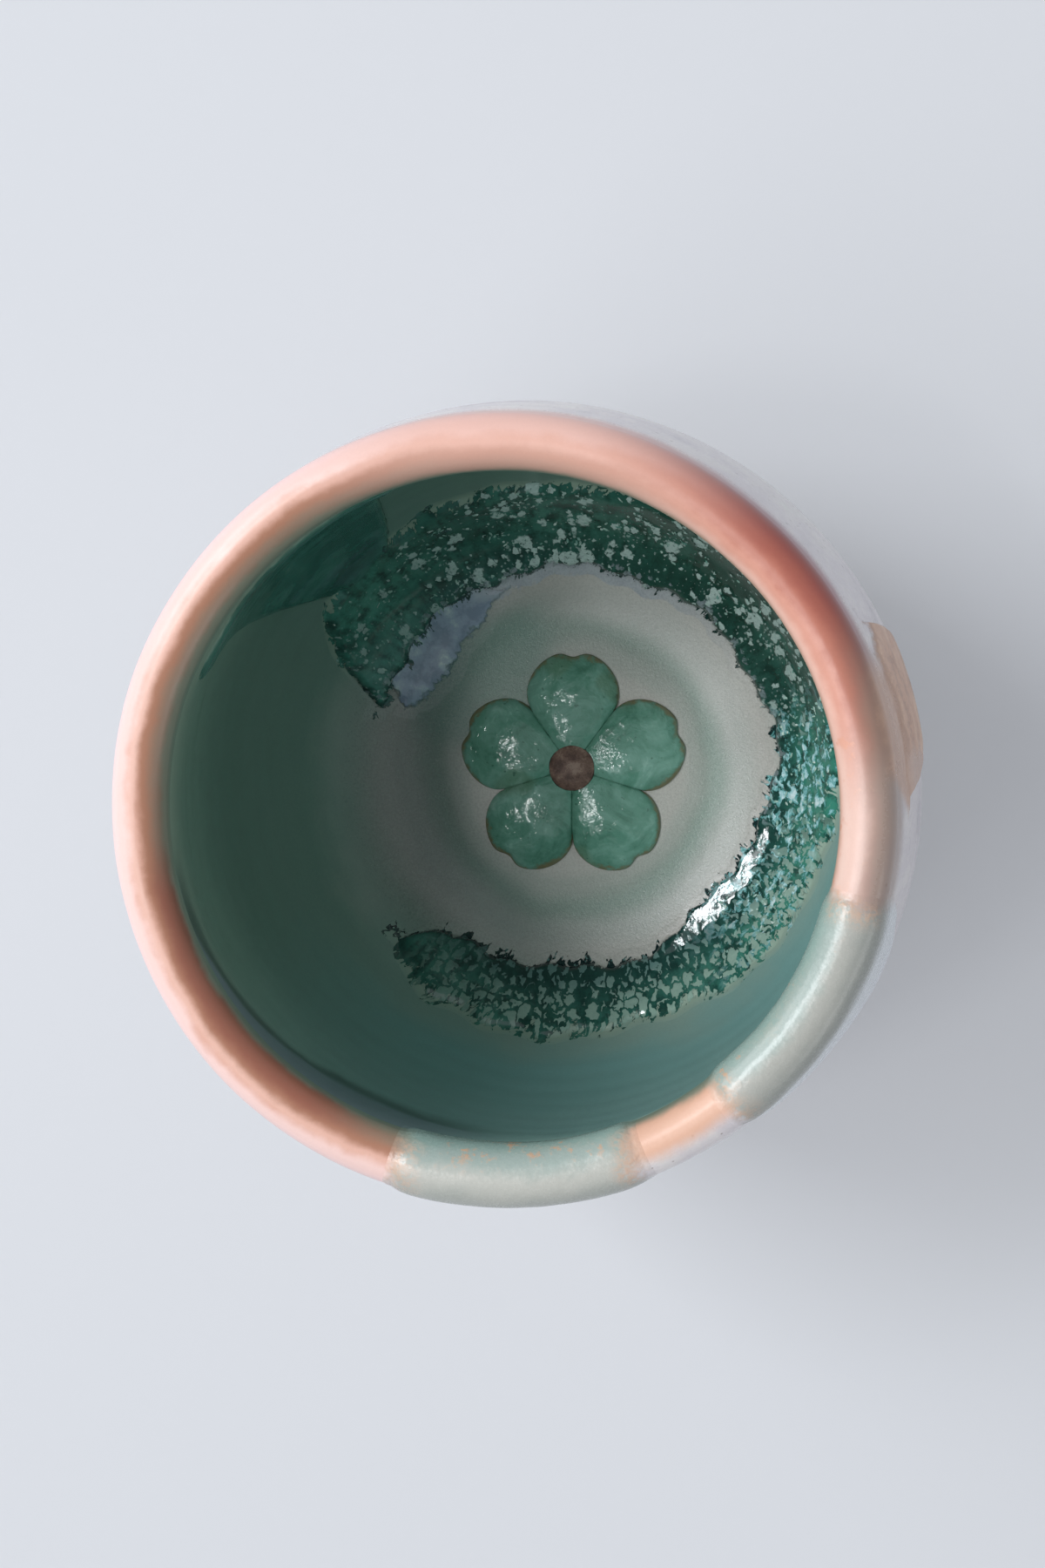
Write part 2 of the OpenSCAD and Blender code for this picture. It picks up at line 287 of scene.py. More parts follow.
class MeshMaker:
    """Closed meshes from rows and columns of points in millimetres, with their places on the wall."""

    @staticmethod
    def finish(name: str, points: Array, faces: list[tuple[int, ...]],
               layers: Mapping[str, Array]) -> bpy.types.Object:
        """Make the object of a mesh.

        Args:
            name: Name of the object.
            points: Places in millimetres.
            faces: Corners of each face, counted so that it points outwards.
            layers: Vectors kept at each point, by name.

        Returns:
            The object, linked to the scene.
        """
        mesh = bpy.data.meshes.new(name)
        mesh.from_pydata((points * MM).tolist(), [], faces)
        for layer, values in layers.items():
            data = mesh.attributes.new(layer, "FLOAT_VECTOR", "POINT")
            data.data.foreach_set("vector", np.ascontiguousarray(values, np.float32).ravel())
        mesh.shade_smooth()
        mesh.set_sharp_from_angle(angle=SHARP)
        mesh.update()
        piece = bpy.data.objects.new(name, mesh)
        bpy.context.scene.collection.objects.link(piece)
        return piece

    @staticmethod
    def quads(table: Array, flip: bool = False) -> list[tuple[int, ...]]:
        """Faces over a table of point numbers, rows round the cup and columns up the wall.

        Args:
            table: Point numbers.
            flip: Whether the faces look into the clay.

        Returns:
            The faces, as triangles where two corners are one point.
        """
        corners = np.stack([table[:-1, :-1], table[:-1, 1:], table[1:, 1:], table[1:, :-1]], axis=-1)
        corners = corners.reshape(-1, 4)
        if flip:
            corners = corners[:, ::-1]
        faces = []
        for quad in corners.tolist():
            face = tuple(dict.fromkeys(quad))
            if len(face) > 2:
                faces.append(face)
        return faces

    @classmethod
    def turned(cls, name: str, section: Array, loop: bool) -> bpy.types.Object:
        """Turn a section round the axis.

        Args:
            name: Name of the object.
            section: Rows of radius, height and distance along the section line.
            loop: Whether the section closes on itself, or runs from the axis to the axis.

        Returns:
            The closed object.
        """
        count = len(section)
        angle = np.arange(ROWS_ROUND) * 360.0 / ROWS_ROUND
        ring_of = np.arange(ROWS_ROUND * count).reshape(ROWS_ROUND, count)
        if not loop:
            ring_of[:, 0] = ring_of[0, 0]
            ring_of[:, -1] = ring_of[0, -1]
        used, packed = np.unique(ring_of, return_inverse=True)
        table = packed.reshape(ROWS_ROUND, count)
        table = np.concatenate([table, table[:1]], axis=0)
        if loop:
            table = np.concatenate([table, table[:, :1]], axis=1)
        points = round_axis(angle[:, None], section[:, 0], section[:, 1]).reshape(-1, 3)[used]
        place = np.zeros((ROWS_ROUND, count, 3))
        place[:, :, 1] = section[:, 2]
        layers = {"wall": place.reshape(-1, 3)[used]}
        return cls.finish(name, points, cls.quads(table), layers)

    @classmethod
    def sheet(cls, name: str, tops: Array, bottoms: Array, wall: Array, look: Array,
              whole: bool = False) -> bpy.types.Object:
        """A sheet with a top, a bottom and a wall round its edge.

        Args:
            name: Name of the object.
            tops: Rows and columns of points of the upper side.
            bottoms: The same of the lower side.
            wall: Place on the wall and distance to the sheet's edge at each top point.
            look: Three shares that its finish reads at each top point.
            whole: Whether the last row joins the first, so that it goes all the way round.

        Returns:
            The closed object.
        """
        rows, cols = tops.shape[:2]
        top = np.arange(rows * cols).reshape(rows, cols)
        if whole:
            top = np.concatenate([top, top[:1]], axis=0)
        bottom = top + rows * cols
        faces = cls.quads(top) + cls.quads(bottom, flip=True)
        faces += cls.quads(np.stack([bottom[:, 0], top[:, 0]], axis=1))
        faces += cls.quads(np.stack([top[:, -1], bottom[:, -1]], axis=1))
        if not whole:
            faces += cls.quads(np.stack([bottom[0], top[0]], axis=0))
            faces += cls.quads(np.stack([top[-1], bottom[-1]], axis=0))
        under = wall.copy()
        under[:, :, 2] = UNDERSIDE
        points = np.concatenate([tops.reshape(-1, 3), bottoms.reshape(-1, 3)])
        layers = {"wall": np.concatenate([wall.reshape(-1, 3), under.reshape(-1, 3)]),
                  "look": np.concatenate([look.reshape(-1, 3), look.reshape(-1, 3)])}
        return cls.finish(name, points, faces, layers)


class Field:
    """A number that varies over a surface: an output socket with arithmetic."""

    def __init__(self, writer: "NodeWriter", socket: bpy.types.NodeSocket) -> None:
        """Keep the socket and the tree that it is in."""
        self.writer = writer
        self.socket = socket

    def __add__(self, other: Any) -> "Field":
        """Sum."""
        return self.writer.math("ADD", self, other)

    def __sub__(self, other: Any) -> "Field":
        """Difference."""
        return self.writer.math("SUBTRACT", self, other)

    def __rsub__(self, other: Any) -> "Field":
        """Difference from a number."""
        return self.writer.math("SUBTRACT", other, self)

    def __mul__(self, other: Any) -> "Field":
        """Product."""
        return self.writer.math("MULTIPLY", self, other)

    def __truediv__(self, other: Any) -> "Field":
        """Quotient."""
        return self.writer.math("DIVIDE", self, other)

    __radd__ = __add__
    __rmul__ = __mul__


def blank(name: str) -> tuple[bpy.types.Material, "NodeWriter"]:
    """A material without nodes and the writer of its tree.

    Args:
        name: Name of the material.

    Returns:
        The material and the writer.
    """
    made = bpy.data.materials.new(name)
    made.use_nodes = True
    made.node_tree.nodes.clear()
    return made, NodeWriter(made.node_tree)


class Look(NamedTuple):
    """What a finish gives its shader: colour, roughness and relief in millimetres."""

    colour: bpy.types.NodeSocket
    rough: Field
    height: Field


class NodeWriter:
    """Adds nodes to one tree, for a surface or for a geometry, and links them."""

    def __init__(self, tree: bpy.types.NodeTree) -> None:
        """Keep the tree.

        Args:
            tree: The tree.
        """
        self.tree = tree
        self.shapes = tree.bl_idname == "GeometryNodeTree"
        self._here: bpy.types.NodeSocket | None = None

    def add(self, kind: str, inputs: Mapping[Any, Any] | None = None, **settings: Any) -> bpy.types.Node:
        """Add a node.

        Args:
            kind: Blender's name of the node's type.
            inputs: What each input is fed with, by its name or number.
            settings: The node's own settings.

        Returns:
            The node.
        """
        node = self.tree.nodes.new(kind)
        for key, value in settings.items():
            setattr(node, key, value)
        for key, value in (inputs or {}).items():
            self.feed(node.inputs[key], value)
        return node

    def feed(self, socket: bpy.types.NodeSocket, value: Any) -> None:
        """Link an input to a field or socket, or set its number or colour.

        Args:
            socket: The input.
            value: What it gets. None leaves it as it is.
        """
        if isinstance(value, Field):
            value = value.socket
        if isinstance(value, bpy.types.NodeSocket):
            self.tree.links.new(value, socket)
        elif value is not None:
            if socket.type == "RGBA" and len(value) == 3:
                value = (*value, 1.0)
            socket.default_value = value

    def math(self, operation: str, *values: Any) -> Field:
        """Result of a Math node."""
        return Field(self, self.add("ShaderNodeMath", dict(enumerate(values)),
                                    operation=operation).outputs[0])

    def smooth(self, value: Any, low: Any, high: Any) -> Field:
        """Smooth step of a value from 0 at low to 1 at high.

        Args:
            value: The value.
            low: Where the step starts.
            high: Where it ends.

        Returns:
            The step.
        """
        node = self.add("ShaderNodeMapRange", {"Value": value, "From Min": low, "From Max": high},
                        interpolation_type="SMOOTHSTEP")
        return Field(self, node.outputs[0])

    def band(self, value: Any, rise: float, risen: float, fall: float, fallen: float) -> Field:
        """1 between two limits of a value, with a smooth step up and a smooth step down."""
        return self.smooth(value, rise, risen) * self.smooth(value, fallen, fall)

    def most(self, first: Any, *others: Any) -> Field:
        """The greatest of several numbers.

        Args:
            first: One of the numbers.
            others: The rest.

        Returns:
            The greatest.
        """
        for other in others:
            first = self.math("MAXIMUM", first, other)
        return first

    def turn(self, x: Field, y: Field) -> Field:
        """Angle round the axis in degrees."""
        return self.math("ARCTAN2", y, x) * (180 / math.pi)

    def radius(self, x: Field, y: Field) -> Field:
        """Distance from the axis."""
        return self.math("SQRT", x * x + y * y)

    def lerp(self, share: Any, a: Any, b: Any) -> Field:
        """Number between a and b."""
        return Field(self, self.add("ShaderNodeMix", {0: share, 2: a, 3: b}).outputs[0])

    def blend(self, share: Any, a: Any, b: Any) -> bpy.types.NodeSocket:
        """Colour between a and b.

        Args:
            share: 0 for a, 1 for b.
            a: One colour.
            b: The other colour.

        Returns:
            The colour.
        """
        node = self.add("ShaderNodeMix", data_type="RGBA")
        self.feed(node.inputs[0], share)
        self.feed(node.inputs[6], a)
        self.feed(node.inputs[7], b)
        return node.outputs[2]

    def times(self, vector: Any, share: Any) -> bpy.types.NodeSocket:
        """Colour or vector multiplied by a number."""
        node = self.add("ShaderNodeVectorMath", {0: vector, "Scale": share}, operation="SCALE")
        return node.outputs[0]

    def vector(self, x: Any, y: Any, z: Any = 0.0) -> bpy.types.NodeSocket:
        """Vector of three numbers."""
        return self.add("ShaderNodeCombineXYZ", {0: x, 1: y, 2: z}).outputs[0]

    def vmath(self, operation: str, a: Any, b: Any) -> bpy.types.NodeSocket:
        """Result of a Vector Math node."""
        return self.add("ShaderNodeVectorMath", {0: a, 1: b}, operation=operation).outputs[0]

    def split(self, vector: Any) -> tuple[Field, Field, Field]:
        """The three numbers of a vector."""
        outputs = self.add("ShaderNodeSeparateXYZ", {0: vector}).outputs
        return Field(self, outputs[0]), Field(self, outputs[1]), Field(self, outputs[2])

    def ramp(self, value: Any, *stops: tuple[float, int, int, int],
             span: Span = (0.0, 1.0)) -> bpy.types.NodeSocket:
        """Colour that follows a value.

        Args:
            value: The value to follow.
            stops: Values, each with its colour's red, green and blue as shade() takes them.
            span: Lowest and highest value.

        Returns:
            The colour.
        """
        share = self.add("ShaderNodeMapRange", {"Value": value, "From Min": span[0],
                                                "From Max": span[1]}).outputs[0]
        node = self.add("ShaderNodeValToRGB", {0: share})
        node.color_ramp.interpolation = "EASE"
        elements = node.color_ramp.elements
        while len(elements) < len(stops):
            elements.new(0.5)
        for element, (at, *colour) in zip(elements, stops):
            element.position = (at - span[0]) / (span[1] - span[0])
            element.color = (*shade(*colour), 1.0)
        return node.outputs[0]

    def noise(self, where: Any, scale: float, detail: float = 2.0, rough: float = 0.5,
              warp: float = 0.0) -> Field:
        """Soft random number from 0 to 1.

        Args:
            where: The place.
            scale: Waves to a unit of the place.
            detail: How many finer layers it has.
            rough: Weight of the finer ones.
            warp: How much it is distorted.

        Returns:
            The number.
        """
        node = self.add("ShaderNodeTexNoise", {"Vector": where, "Scale": scale, "Detail": detail,
                                               "Roughness": rough, "Distortion": warp})
        return Field(self, node.outputs[0])

    def stir(self, place: Any, by: Any, scale: float, reach: float) -> bpy.types.NodeSocket:
        """Place with a soft random shift of up to reach each way, which varies with by.

        Args:
            place: The place.
            by: What the shift varies with.
            scale: Waves to a unit of by.
            reach: Widest shift.

        Returns:
            The shifted place.
        """
        node = self.add("ShaderNodeTexNoise", {"Vector": by, "Scale": scale, "Detail": 2.0})
        centred = self.vmath("SUBTRACT", node.outputs[1], (0.5, 0.5, 0.5))
        return self.vmath("ADD", place, self.times(centred, 2 * reach))

    def cells(self, where: Any, scale: float, dimensions: str = "2D") -> tuple[Field, Field]:
        """Distance from the middle of the cell that a place is in, and the cell's random number.

        Args:
            where: The place.
            scale: Cells to a unit of the place.
            dimensions: 2D for a place on the unrolled wall, 3D for one in space.

        Returns:
            The distance and the number.
        """
        outputs = self.add("ShaderNodeTexVoronoi", {"Vector": where, "Scale": scale},
                           voronoi_dimensions=dimensions).outputs
        return Field(self, outputs["Distance"]), self.split(outputs["Color"])[0]

    def borders(self, where: Any, scale: float) -> Field:
        """Distance from the borders of the same cells.

        Args:
            where: The place.
            scale: Cells to a unit of the place.

        Returns:
            The distance.
        """
        return Field(self, self.add("ShaderNodeTexVoronoi", {"Vector": where, "Scale": scale},
                                    feature="DISTANCE_TO_EDGE",
                                    voronoi_dimensions="2D").outputs["Distance"])

    def specks(self, scale: float, least: float, spread: float) -> Field:
        """Small round specks of many sizes all over the piece, from 0 to 1."""
        away, size = self.cells(self.here(), scale, "3D")
        return 1.0 - self.smooth(away, least, least + 0.01 + size * spread)

    def here(self) -> bpy.types.NodeSocket:
        """Place on the piece in millimetres.

        Returns:
            The place.
        """
        if self._here is None:
            if self.shapes:
                place = self.add("GeometryNodeInputPosition").outputs[0]
            else:
                place = self.add("ShaderNodeTexCoord").outputs["Object"]
            self._here = self.times(place, 1 / MM)
        return self._here

    def layer(self, name: str) -> tuple[Field, Field, Field]:
        """The three numbers that a piece keeps under a name at each of its points.

        Args:
            name: The name.

        Returns:
            The numbers.
        """
        if self.shapes:
            node = self.add("GeometryNodeInputNamedAttribute", {"Name": name}, data_type="FLOAT_VECTOR")
            return self.split(node.outputs[0])
        return self.split(self.add("ShaderNodeAttribute", attribute_name=name).outputs["Vector"])

    def mix_looks(self, share: Field, under: Look, over: Look, step: float = 0.0) -> Look:
        """One look laid over another, with a raised edge of step millimetres.

        Args:
            share: 0 for the lower look, 1 for the upper one.
            under: The lower look.
            over: The upper look.
            step: Height of the edge.

        Returns:
            The look.
        """
        return Look(self.blend(share, under.colour, over.colour),
                    self.lerp(share, under.rough, over.rough),
                    self.lerp(share, under.height, over.height + step))


@dataclass(frozen=True)
class Finish:
    """A fired surface: where its look comes from, and what is the same all over it."""

    name: str
    slot: str
    specular: float = 0.5
    coat: float = 0.0
    coat_rough: float = 0.1

    def paint(self, w: NodeWriter) -> Look:
        """Draw the look.

        Args:
            w: Writer of the material's tree.

        Returns:
            The look.
        """
        raise NotImplementedError

    def material(self) -> bpy.types.Material:
        """Make the material.

        Returns:
            The material.
        """
        made, w = blank(self.name)
        look = self.paint(w)
        bump = w.add("ShaderNodeBump", {"Strength": 1.0, "Distance": MM, "Height": look.height})
        shader = w.add("ShaderNodeBsdfPrincipled", {
            "Base Color": look.colour, "Roughness": look.rough, "Normal": bump.outputs[0],
            "Specular IOR Level": self.specular, "Coat Weight": self.coat,
            "Coat Roughness": self.coat_rough})
        w.add("ShaderNodeOutputMaterial", {"Surface": shader.outputs[0]})
        return made


@dataclass(frozen=True)
class SatinLiner(Finish):
    """Satin green-grey glaze of the inside, with fine sparkling crystals."""

    name: str = "satin_liner"
    slot: str = "satin_liner"
    streak_turn: Span = (-168.0, -100.0)
    streak_s: Span = (100.0, 80.0)

    def paint(self, w: NodeWriter) -> Look:
        """Concentric tones on the floor, olive and teal up the wall, and a streak below the lip.

        Args:
            w: Writer of the material's tree.

        Returns:
            The look.
        """
        here = w.here()
        x, y, z = w.split(here)
        _, s, _ = w.layer("wall")
        r = w.radius(x, y)
        turn = w.turn(x, y)
        cloud = w.noise(here, 0.10, 3.0)
        grain = w.noise(here, 3.0, 3.0, 0.65)
        spark = w.noise(here, 6.5, 2.0, 0.7)
        # Concentric floor tones, partly the glaze's own and partly painted sheen in the lighter rings.
        floor = w.ramp(r + (cloud - 0.5) * 4.0, (0.0, 160, 166, 158), (13.5, 192, 188, 180),
                       (16.2, 168, 172, 163), (19.0, 136, 154, 142), (22.4, 168, 170, 163),
                       (26.0, 186, 181, 175), (31.0, 150, 162, 152), span=(0.0, 34.0))
        # Painted sheen: the floor is lighter on its upper right, between the petals and the ring.
        sheen = w.band(turn, 8.0, 30.0, 76.0, 100.0) * w.smooth(r, 18.0, 21.0)
        floor = w.blend(sheen * 0.4, floor, shade(224, 220, 214))
        near_run = w.band(turn, 92.0, 112.0, 160.0, 178.0) * w.smooth(r, 24.0, 21.0)
        floor = w.blend(near_run * 0.75, floor, shade(104, 142, 128))
        olive = w.ramp(z + (cloud - 0.5) * 14.0, (14.0, 148, 160, 150), (24.0, 120, 146, 134),
                       (46.0, 112, 142, 128), (66.0, 138, 168, 150), (86.0, 150, 170, 150),
                       span=(10.0, 88.0))
        # Teal side of the wall: partly a real tint, partly painted reflection of the sky and the lip,
        # lighter and bluer on the lower right and near the lip.
        teal_and_reflection = w.ramp(z + (cloud - 0.5) * 14.0, (14.0, 150, 164, 156), (22.0, 142, 166, 156),
                      (34.0, 122, 166, 163), (56.0, 126, 164, 161), (74.0, 152, 188, 182),
                      (86.0, 176, 206, 196), span=(10.0, 88.0))
        wall = w.blend(w.smooth((x * 0.64 - y * 0.77) / r, -0.35, 0.75), olive, teal_and_reflection)
        start, end = self.streak_turn
        past = s - w.lerp(w.smooth(turn, start, end), *self.streak_s) - (cloud - 0.5) * 8.0
        there = w.band(turn, start - 8.0, start + 8.0, end - 8.0, end + 12.0)
        wall = w.blend(w.smooth(past, -0.4, 2.6) * there * 0.85, wall, shade(124, 138, 148))
        dark = w.band(past, -6.0, -0.4, 0.0, 3.4) * there
        wall = w.blend(dark * 0.74, wall, shade(46, 70, 66))
        # Painted shadow: the floor is darker towards -x, as the left wall's shadow on it.
        floor = w.times(floor, 1.0 - w.smooth(x, -9.0, -21.0) * 0.34)
        colour = w.blend(w.smooth(z, 13.0, 20.0), floor, wall)
        bands = w.noise(w.vector(r * 0.5, z * 0.42, cloud * 1.5), 1.0, 3.0)
        colour = w.times(colour, 0.92 + bands * 0.12 + (grain - 0.5) * 0.26)
        low = w.smooth(z, 22.0, 14.0)
        colour = w.blend(w.smooth(spark, 0.60, 0.76) * low * 0.5, colour, shade(236, 236, 232))
        rough = 0.34 + ((grain - 0.5) * 0.3 - 0.06) * low
        height = w.noise(here, 0.9, 3.0) * 0.02 + (grain * 0.03 + spark * 0.022) * low
        return Look(colour, rough, height)


@dataclass(frozen=True)
class DarkGreen(Finish):
    """Glossy dark green glaze, smooth where it runs."""

    name: str = "dark_green"
    slot: str = "run_green"

    def base(self, w: NodeWriter) -> Look:
        """The glaze without its edge, the same wherever it lies.

        Args:
            w: Writer of the material's tree.

        Returns:
            The look.
        """
        here = w.here()
        cloud = w.noise(here, 0.14, 3.0, 0.55)
        fine = w.noise(here, 1.6, 3.0, 0.6)
        colour = w.ramp(cloud + (fine - 0.5) * 0.3, (0.3, 42, 92, 80), (0.45, 52, 106, 94),
                        (0.6, 66, 122, 108), (0.75, 82, 136, 122))
        return Look(colour, 0.12 + fine * 0.06, fine * 0.006 + cloud * 0.05)

    def paint(self, w: NodeWriter) -> Look:
        """The glaze where it thins out onto the liner.

        Args:
            w: Writer of the material's tree.

        Returns:
            The look.
        """
        u, v, edge = w.layer("wall")
        under = SatinLiner().paint(w)
        over = self.base(w)
        ragged = (w.noise(w.vector(u, v), 0.35, 2.0) - 0.5) * 2.0
        inside = w.smooth(edge + ragged, -0.4, 0.5)
        thin = w.smooth(edge + ragged, 0.0, 1.8)
        colour = w.blend(thin, shade(66, 112, 98), over.colour)
        return w.mix_looks(inside, under, over._replace(colour=colour), 0.12)


@dataclass(frozen=True)
class CrystalGreen(DarkGreen):
    """The same glaze where it pooled, with pale crystals in three growths."""

    name: str = "crystal_green"
    slot: str = "crystal_green"
    specular: float = 0.8
    web_scale: float = 0.72

    def openings(self, w: NodeWriter, u: Field, v: Field) -> Field:
        """How far the web of dark glaze is open at a place, from 0 to 1.

        Args:
            w: Writer of a surface's or a geometry's tree.
            u: Way round the wall.
            v: Way up the wall.

        Returns:
            The share.
        """
        flat = w.vector(u, v * 0.56)
        bent = w.stir(w.stir(flat, flat, 0.7, 1.3), flat, 2.2, 0.42)
        _, pick = w.cells(bent, self.web_scale)
        limit = 0.15 + pick * pick * 0.26 - w.smooth(v, 29.0, 38.0) * 0.08
        return w.smooth(w.borders(bent, self.web_scale) - limit, 0.0, 0.06)

    def shards(self, w: NodeWriter, u: Field, v: Field) -> Field:
        """How icy the crystals are at a place, from 0 to 1.

        Args:
            w: Writer of a surface's or a geometry's tree.
            u: Way round the wall.
            v: Way up the wall.

        Returns:
            The share.
        """
        flat = w.vector(u, v)
        _, pick = w.cells(w.stir(flat, flat, 1.4, 0.5), 0.8)
        return w.noise(flat, 0.75, 4.0, 0.6, 0.5) + (pick - 0.5) * 0.24

    def spots(self, w: NodeWriter, flat: Any, scale: float, share: Any, width: float) -> Field:
        """Ragged round spots, from 0 to 1.

        Args:
            w: Writer of the tree.
            flat: Place on the unrolled wall.
            scale: Spots to a millimetre.
            share: How many places for a spot hold one.
            width: Radius of the widest, as a share of the way between spots.

        Returns:
            1 in a spot.
        """
        away, pick = w.cells(w.stir(flat, flat, scale * 2.6, 0.34 / scale), scale)
        return w.smooth((pick - 1.0 + share) * width - away, -0.02, 0.07)

    def flecks(self, w: NodeWriter, u: Field, v: Field) -> Field:
        """Where the pale flecks lie, from 0 to 1.

        Args:
            w: Writer of a surface's or a geometry's tree.
            u: Way round the wall.
            v: Way up the wall.

        Returns:
            The share.
        """
        flat = w.vector(u, v * 0.66)
        cluster = w.smooth(w.noise(flat, 0.18, 2.0), 0.38, 0.62)
        share = cluster * 0.44 + 0.30 + w.smooth(v, 48.0, 36.0) * w.smooth(u, 66.0, 52.0) * 0.12
        broken = w.smooth(w.noise(flat, 1.5, 3.0, 0.7), 0.32, 0.46)
        large = self.spots(w, flat, 0.38, share - 0.04, 0.66) * broken
        middle = self.spots(w, flat, 0.75, share - 0.06, 0.64)
        small = self.spots(w, flat, 1.6, share - 0.04, 0.5)
        return w.most(large, middle, small * 0.5)

    def on_film(self, w: NodeWriter, edge: Field, under: Look,
                shares: tuple[Field, Field, Field]) -> Look:
        """The crystals of a film whose edge lies at the given distance.

        Args:
            w: Writer of the material's tree.
            edge: Distance inside the nominal edge.
            under: What shows outside the edge.
            shares: How much web, shards and flecks there are.

        Returns:
            The look of both.
        """
        u, v, _ = w.layer("wall")
        web, shards, flecks = shares
        flat = w.vector(u, v)
        outer = w.smooth(v, 32.0, 38.0)
        mottle = w.noise(flat, 0.35, 3.0)
        fine = w.noise(flat, 2.4, 3.0, 0.6)
        along = w.vector(u + v * 0.3, v * 0.5)
        hooks = w.noise(along, 0.8, 4.0, 0.68, 0.7) - 0.5
        vein = w.math("ABSOLUTE", w.noise(along, 0.36, 2.0, 0.6, 0.9) - 0.5)
        grown = w.smooth(w.noise(along, 0.26, 2.0), 0.40, 0.54) * (1.0 - flecks * 0.7)
        nibbled = (w.noise(along, 1.7, 3.0, 0.6) - 0.5) * 2.2
        thorns = w.most(1.0 - vein * 9.0, 0.0) * grown
        shore = edge - 0.35 + hooks * (5.0 + outer * 4.0) + nibbled
        reach = w.math("MINIMUM", shore + thorns * (1.9 + outer * 1.1), edge + 1.7 + outer * 0.7)
        inside = w.smooth(reach, -0.06, 0.10)
        base = self.base(w)
        lit = w.blend(shards * 0.8, base.colour, shade(52, 120, 104))
        lit = w.blend(shards * outer * 0.6, lit, shade(66, 142, 122))
        streaks = w.noise(w.vector(u, v * 0.3), 0.9, 3.0)
        depth = w.smooth(mottle * 0.5 + streaks * 0.5 + (fine - 0.5) * 0.2, 0.36, 0.58)
        deep = w.blend(depth, shade(28, 64, 57), lit)
        near = w.smooth(v, 36.0, 29.0)
        deep = w.blend(w.most(web, shards) * near * 0.8, deep, shade(24, 52, 50))
        deep = w.blend(flecks * w.smooth(v, 40.0, 30.0) * w.smooth(mottle, 0.36, 0.56) * 0.6, deep,
                       shade(26, 52, 48))
        # Painted light and shade: the deep green is darker towards +x, where the lamps light the ring,
        # and lighter round the left, where the ring lies in shade.
        x, _, _ = w.split(w.here())
        deep = w.blend(flecks * w.smooth(x, -6.0, 14.0) * 0.4, deep, shade(30, 68, 52))
        deep = w.times(deep, 1.0 - flecks * w.smooth(x, 12.0, 28.0) * 0.5 + w.smooth(u, 60.0, 76.0) * 0.5)
        rim = w.smooth(edge + hooks * 1.5, 1.3, 0.2) * (1.0 - outer)
        deep = w.blend(rim * (0.9 - flecks * 0.5), deep, shade(18, 36, 40))
        gaps = self.openings(w, u, v) * web
        liner = w.blend(w.smooth(v + (mottle - 0.5) * 8.0, 28.0, 37.0), shade(98, 130, 126),
                        w.blend(fine, shade(128, 158, 146), shade(166, 190, 176)))
        # Icy shards: their own pale colour, partly painted sky reflection in the bluish-white ones.
        ice_at = self.shards(w, u, v)
        ice_and_reflection = w.ramp(ice_at, (0.52, 52, 112, 104), (0.57, 104, 166, 166), (0.64, 166, 208, 212),
                     (0.74, 214, 232, 234))
        glint = w.smooth(ice_at, 0.51, 0.55) * shards
        fleck = self.flecks(w, u, v) * flecks
        colour = w.blend(glint, deep, ice_and_reflection)
        colour = w.blend(gaps, colour, liner)
        colour = w.blend(fleck, colour, w.blend(fine, shade(128, 164, 154), shade(226, 238, 234)))
        blots = self.spots(w, flat, 0.7, 0.86, 0.62) * w.band(shore, 0.1, 0.3, 0.9, 2.4)
        fringe = blots * w.most(flecks, shards * 0.6)
        colour = w.blend(fringe * (1.0 - outer) * 0.85, colour, w.blend(fine, shade(112, 124, 132),
                                                                        shade(172, 182, 186)))
        pale = w.most(gaps, glint * 0.7, fleck)
        calm = w.smooth(edge, 1.4, 4.2)
        lumps = w.noise(flat, 1.1, 2.0, 0.6) * 0.05 + w.noise(flat, 0.4, 1.0) * 0.13
        over = Look(colour, 0.08 + pale * calm * 0.18,
                    w.lerp(calm, lumps, base.height + pale * 0.035) + fine * 0.004)
        halo = w.smooth(edge, -2.4, -0.2) * outer * 0.55
        frost = w.smooth(edge + hooks * 3.0, -2.2, -1.4) * (1.0 - outer) * w.smooth(u, 12.0, 40.0)
        around = w.blend(halo, under.colour, shade(164, 180, 160))
        around = w.blend(frost * w.smooth(u, 66.0, 60.0) * 0.75, around, w.blend(
            mottle, shade(146, 152, 168), shade(196, 202, 206)))
        return w.mix_looks(inside, under._replace(colour=around), over, 0.12)

    def paint(self, w: NodeWriter) -> Look:
        """The crystals on the liner."""
        _, _, edge = w.layer("wall")
        return self.on_film(w, edge, SatinLiner().paint(w), w.layer("look"))


@dataclass(frozen=True)
class GreyPool(CrystalGreen):
    """Grey-lavender pool inside the green ring, with the ring's hooks over it."""

    name: str = "grey_pool"
    slot: str = "grey_pool"

    def paint(self, w: NodeWriter) -> Look:
        """Lavender with pale blotches, ragged on its inner edge.

        Args:
            w: Writer of the material's tree.

        Returns:
            The look.
        """
        u, v, edge = w.layer("wall")
        ring_edge, _, _ = w.layer("look")
        here = w.here()
        cloud = w.noise(here, 0.4, 4.0, 0.65)
        fine = w.noise(here, 2.0, 3.0)
        lavender = w.ramp(cloud, (0.38, 136, 146, 168), (0.52, 158, 168, 190), (0.62, 178, 190, 202),
                          (0.72, 212, 222, 222))
        ragged = (w.noise(w.vector(u, v), 0.7, 4.0, 0.6) - 0.5) * 4.0
        inside = w.smooth(edge + ragged, -0.2, 0.5)
        rim = w.smooth(edge + ragged, 1.1, 0.3) * w.smooth(cloud, 0.44, 0.56)
        colour = w.blend(rim * 0.6, lavender, shade(66, 92, 92))
        pool = w.mix_looks(inside, SatinLiner().paint(w), Look(colour, 0.2, cloud * 0.1 + fine * 0.02), 0.1)
        none = ring_edge * 0.0
        return self.on_film(w, ring_edge, pool, (none, none, none + 0.8))


